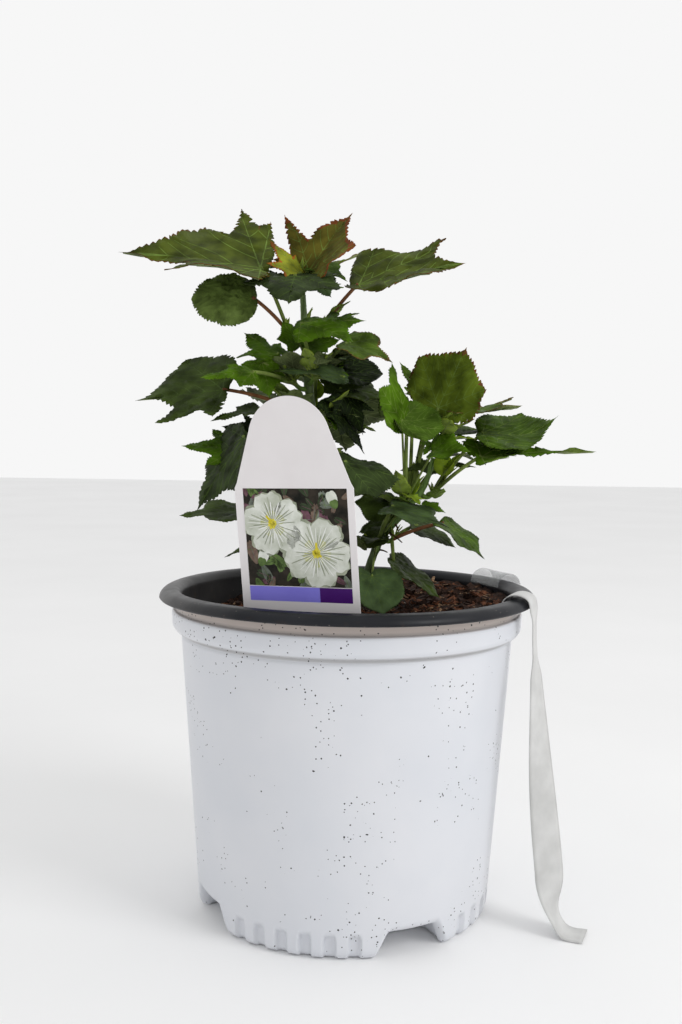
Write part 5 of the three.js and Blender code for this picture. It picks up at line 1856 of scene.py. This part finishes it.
PRINTED_LEAVES = 96
FLOWERS = (
    # centre, length of a petal, bearing of the first petal
    ((-13.5, 124.0), 19.5, 100),
    ((12.0, 107.5), 21.5, 60),
)
BUDS = ((-23.0, 99.0, 70), (25.0, 133.0, 110))
inks = {name: print_look("print_" + name, *values) for name, values in INKS.items()}
leaf_inks = [
    print_look("print_leaf_" + name, tuple(0.45 * c for c in color), color, 180.0)
    for name, color in LEAF_INKS.items()
]
spray = np.random.default_rng(5)
prints = []


def printed(outline, layer, look):
    """Lay one printed shape on the card. A higher layer covers a lower one."""
    low = half_thick + PRINT * (layer - 1)
    prints.append((plate(outline, low - 0.02, half_thick + PRINT * layer), look))


print("inks:", len(inks) + len(leaf_inks))

# %% [markdown]
# ## The printed flowers
# Two open cream blossoms of five petals and two buds lie on plain leaves, over a dark brown and
# green ground. Each layer is a twentieth of a millimetre higher than the one it covers, so no
# two of them fight for the same place.


# %% Print the flowers
def print_flower(centre, size, first):
    turns = [math.radians(first + 72 * k) for k in range(5)]
    for k, turn in enumerate(turns):
        printed(petal(centre, turn, size, size * 1.16, 0.035, 2 * k), 5 + k % 2, inks["petal_shade"])
    for k, turn in enumerate(turns):
        printed(petal(centre, turn + 0.05, size * 0.965, size * 1.05, 0.035, 3 * k), 7 + k % 2, inks["petal"])
        printed(petal(centre, turn, size * 0.42, size * 0.34), 9, inks["petal_glow"])
        for j, aside in enumerate(range(-30, 31, 6)):
            crease = turn + math.radians(aside + spray.uniform(-2, 2))
            look = inks["petal_shade" if j % 2 else "petal_light"]
            long, wide = size * spray.uniform(0.45, 0.92), spray.uniform(0.4, 0.9)
            printed(petal(centre, crease, long, wide), 10, look)
    for k in range(9):
        printed(petal(centre, math.radians(40 * k), spray.uniform(2.2, 4.2), 2.0), 11, inks["heart"])
    printed(petal(centre, math.radians(first + 30), 6.5, 1.8), 12, inks["heart"])


printed(box_outline(*WINDOW), 1, inks["ground"])
printed(box_outline(BAND[0], BAND[1], BAND_SPLIT, BAND[3]), 1, inks["lilac"])
printed(box_outline(BAND_SPLIT, BAND[1], BAND[2], BAND[3]), 1, inks["purple"])
for i in range(PRINTED_LEAVES):
    spot = (spray.uniform(WINDOW[0] + 1, WINDOW[2] - 1), spray.uniform(WINDOW[1] + 1, WINDOW[3] - 1))
    long = spray.uniform(6, 15)
    turn = spray.uniform(0, 2 * math.pi)
    kind = int(spray.integers(5))
    printed(petal(spot, turn, long, long * 0.55, 0.05, i), 2 + i % 2, leaf_inks[kind])
    printed(petal(spot, turn, long * 0.9, 0.35), 4, leaf_inks[(kind + 1) % 5])
for flower in FLOWERS:
    print_flower(*flower)
for x, y, turn in BUDS:
    printed(petal((x, y), math.radians(turn), 11, 8), 5, inks["petal"])
    printed(petal((x, y), math.radians(turn), 5.5, 6.5), 6, leaf_inks[0])

looks = list(dict.fromkeys(look for _, look in prints))
points, triangles, slots = joined([(p, t, np.full(len(t), looks.index(look))) for (p, t), look in prints])
finished(mesh_piece("label_print", points, triangles, looks, slots, smooth=False), "label_card")

# %% [markdown]
# ## Ribbons
# A strip of film follows a path, with its width across it. A flat curve with a bevel could make
# it, but it would twist by itself. This strip is built row by row, so its width and its turn
# can be given at every share of its length.


# %% A ribbon along a path
def ribbon(line, thickness, width_at, side_at, steps, crowding=1.0, across=7, crown=0.0):
    """Points and faces of a flat strip along a path, with a slight crown across its width."""
    path = Path(line)
    shares = np.linspace(0, 1, steps + 1) ** crowding
    top, bottom = [], []
    for share in shares:
        centre, along = path.at(share), path.along(share)
        side = side_at(share)
        side = side - along * along.dot(side)
        side /= np.linalg.norm(side)
        face = np.cross(along, side)
        for k in range(across):
            aside = k / (across - 1) - 0.5
            spot = centre + side * aside * width_at(share) + face * crown * (0.25 - aside ** 2)
            top.append(spot + face * thickness / 2)
            bottom.append(spot - face * thickness / 2)
    rows = steps + 1
    count = rows * across
    upper = grid_faces(rows, across, wrap=False)
    lower = upper[:, ::-1] + count
    left = np.arange(rows - 1) * across
    right = left + across - 1
    first = np.arange(across - 1)
    last = first + (rows - 1) * across
    walls = np.concatenate([
        np.stack([left, left + across, left + across + count, left + count], -1),
        np.stack([right + count, right + across + count, right + across, right], -1),
        np.stack([first + count, first + 1 + count, first + 1, first], -1),
        np.stack([last, last + 1, last + 1 + count, last + count], -1),
    ])
    return np.array(top + bottom), np.concatenate([upper, lower, walls])


print("ribbon helper:", ribbon.__name__)

# %% [markdown]
# ## Strap label and clear tab
# The strap is a ribbon of white film, wide and cloudy where it hooks over the rim, narrow at
# the neck and wide again where it hangs. The tab at the back is a scrap of clear plastic folded
# over the rim. Both rest on the rim, so their paths begin inside it and bend over it.


# %% Make the strap and the tab
def spots_out(bearing, pairs):
    away = towards(bearing)
    return [away * r + np.array([0, 0, z]) for r, z in pairs]


STRAP = {"bearing": 339.0, "width": 20.0, "neck": 10.0, "thick": 0.6, "twist": -46.0}
STRAP_LINE = [
    # distance from the pot's axis, height
    (103.8, 198), (105.2, 205), (112, 208.2), (119.8, 205.6), (121.8, 197), (122.5, 180),
    (125, 145), (129, 95), (134.5, 45), (139, 12), (146, 1.6), (158, 0.9),
]
strap_line = spline(spots_out(STRAP["bearing"], STRAP_LINE))


def strap_width(share):
    neck = smooth_step(share, 0.12, 0.16) - smooth_step(share, 0.24, 0.3)
    return STRAP["width"] + (STRAP["neck"] - STRAP["width"]) * neck


def strap_side(share):
    twist = STRAP["twist"] * smooth_step(share, 0.15, 0.75) * (1 - smooth_step(share, 0.80, 0.92))
    return towards(STRAP["bearing"] + 90 + twist)


def film_look(name, color, cloudy, roughness, alpha=1.0):
    stops, bumps = ((0.35, cloudy), (0.65, color)), ((55.0, 2.0), 0.35, 0.001)
    return clouded_look(
        name, color, roughness, stops, (70.0, 4.0), bumps, Specular_IOR_Level=0.5, Alpha=alpha,
    )


strap_finish = film_look("strap_white_film", (0.63, 0.63, 0.62), (0.54, 0.54, 0.53), 0.38)
tab_finish = film_look("tab_clear_film", (0.56, 0.58, 0.59), (0.40, 0.42, 0.43), 0.14, 0.36)
strap_points, strap_faces = ribbon(strap_line, STRAP["thick"], strap_width, strap_side, 110, 1.3, 9, 0.7)
finished(mesh_piece("strap_film", strap_points, strap_faces, [strap_finish]), "strap_film", "strap_label")

TAB = {"bearing": 25.0, "width": 34.0, "thick": 0.5}
TAB_LINE = [(103.1, 202), (104.7, 207), (109.5, 210.4), (114.5, 210.7), (119, 208.2), (121.5, 203.5)]
tab_line = spline(spots_out(TAB["bearing"], TAB_LINE))
tab_side = towards(TAB["bearing"] + 90)
tab_points, tab_faces = ribbon(tab_line, TAB["thick"], lambda s: TAB["width"], lambda s: tab_side, 24)
finished(mesh_piece("clear_tab_film", tab_points, tab_faces, [tab_finish]), "clear_film", "clear_tab")
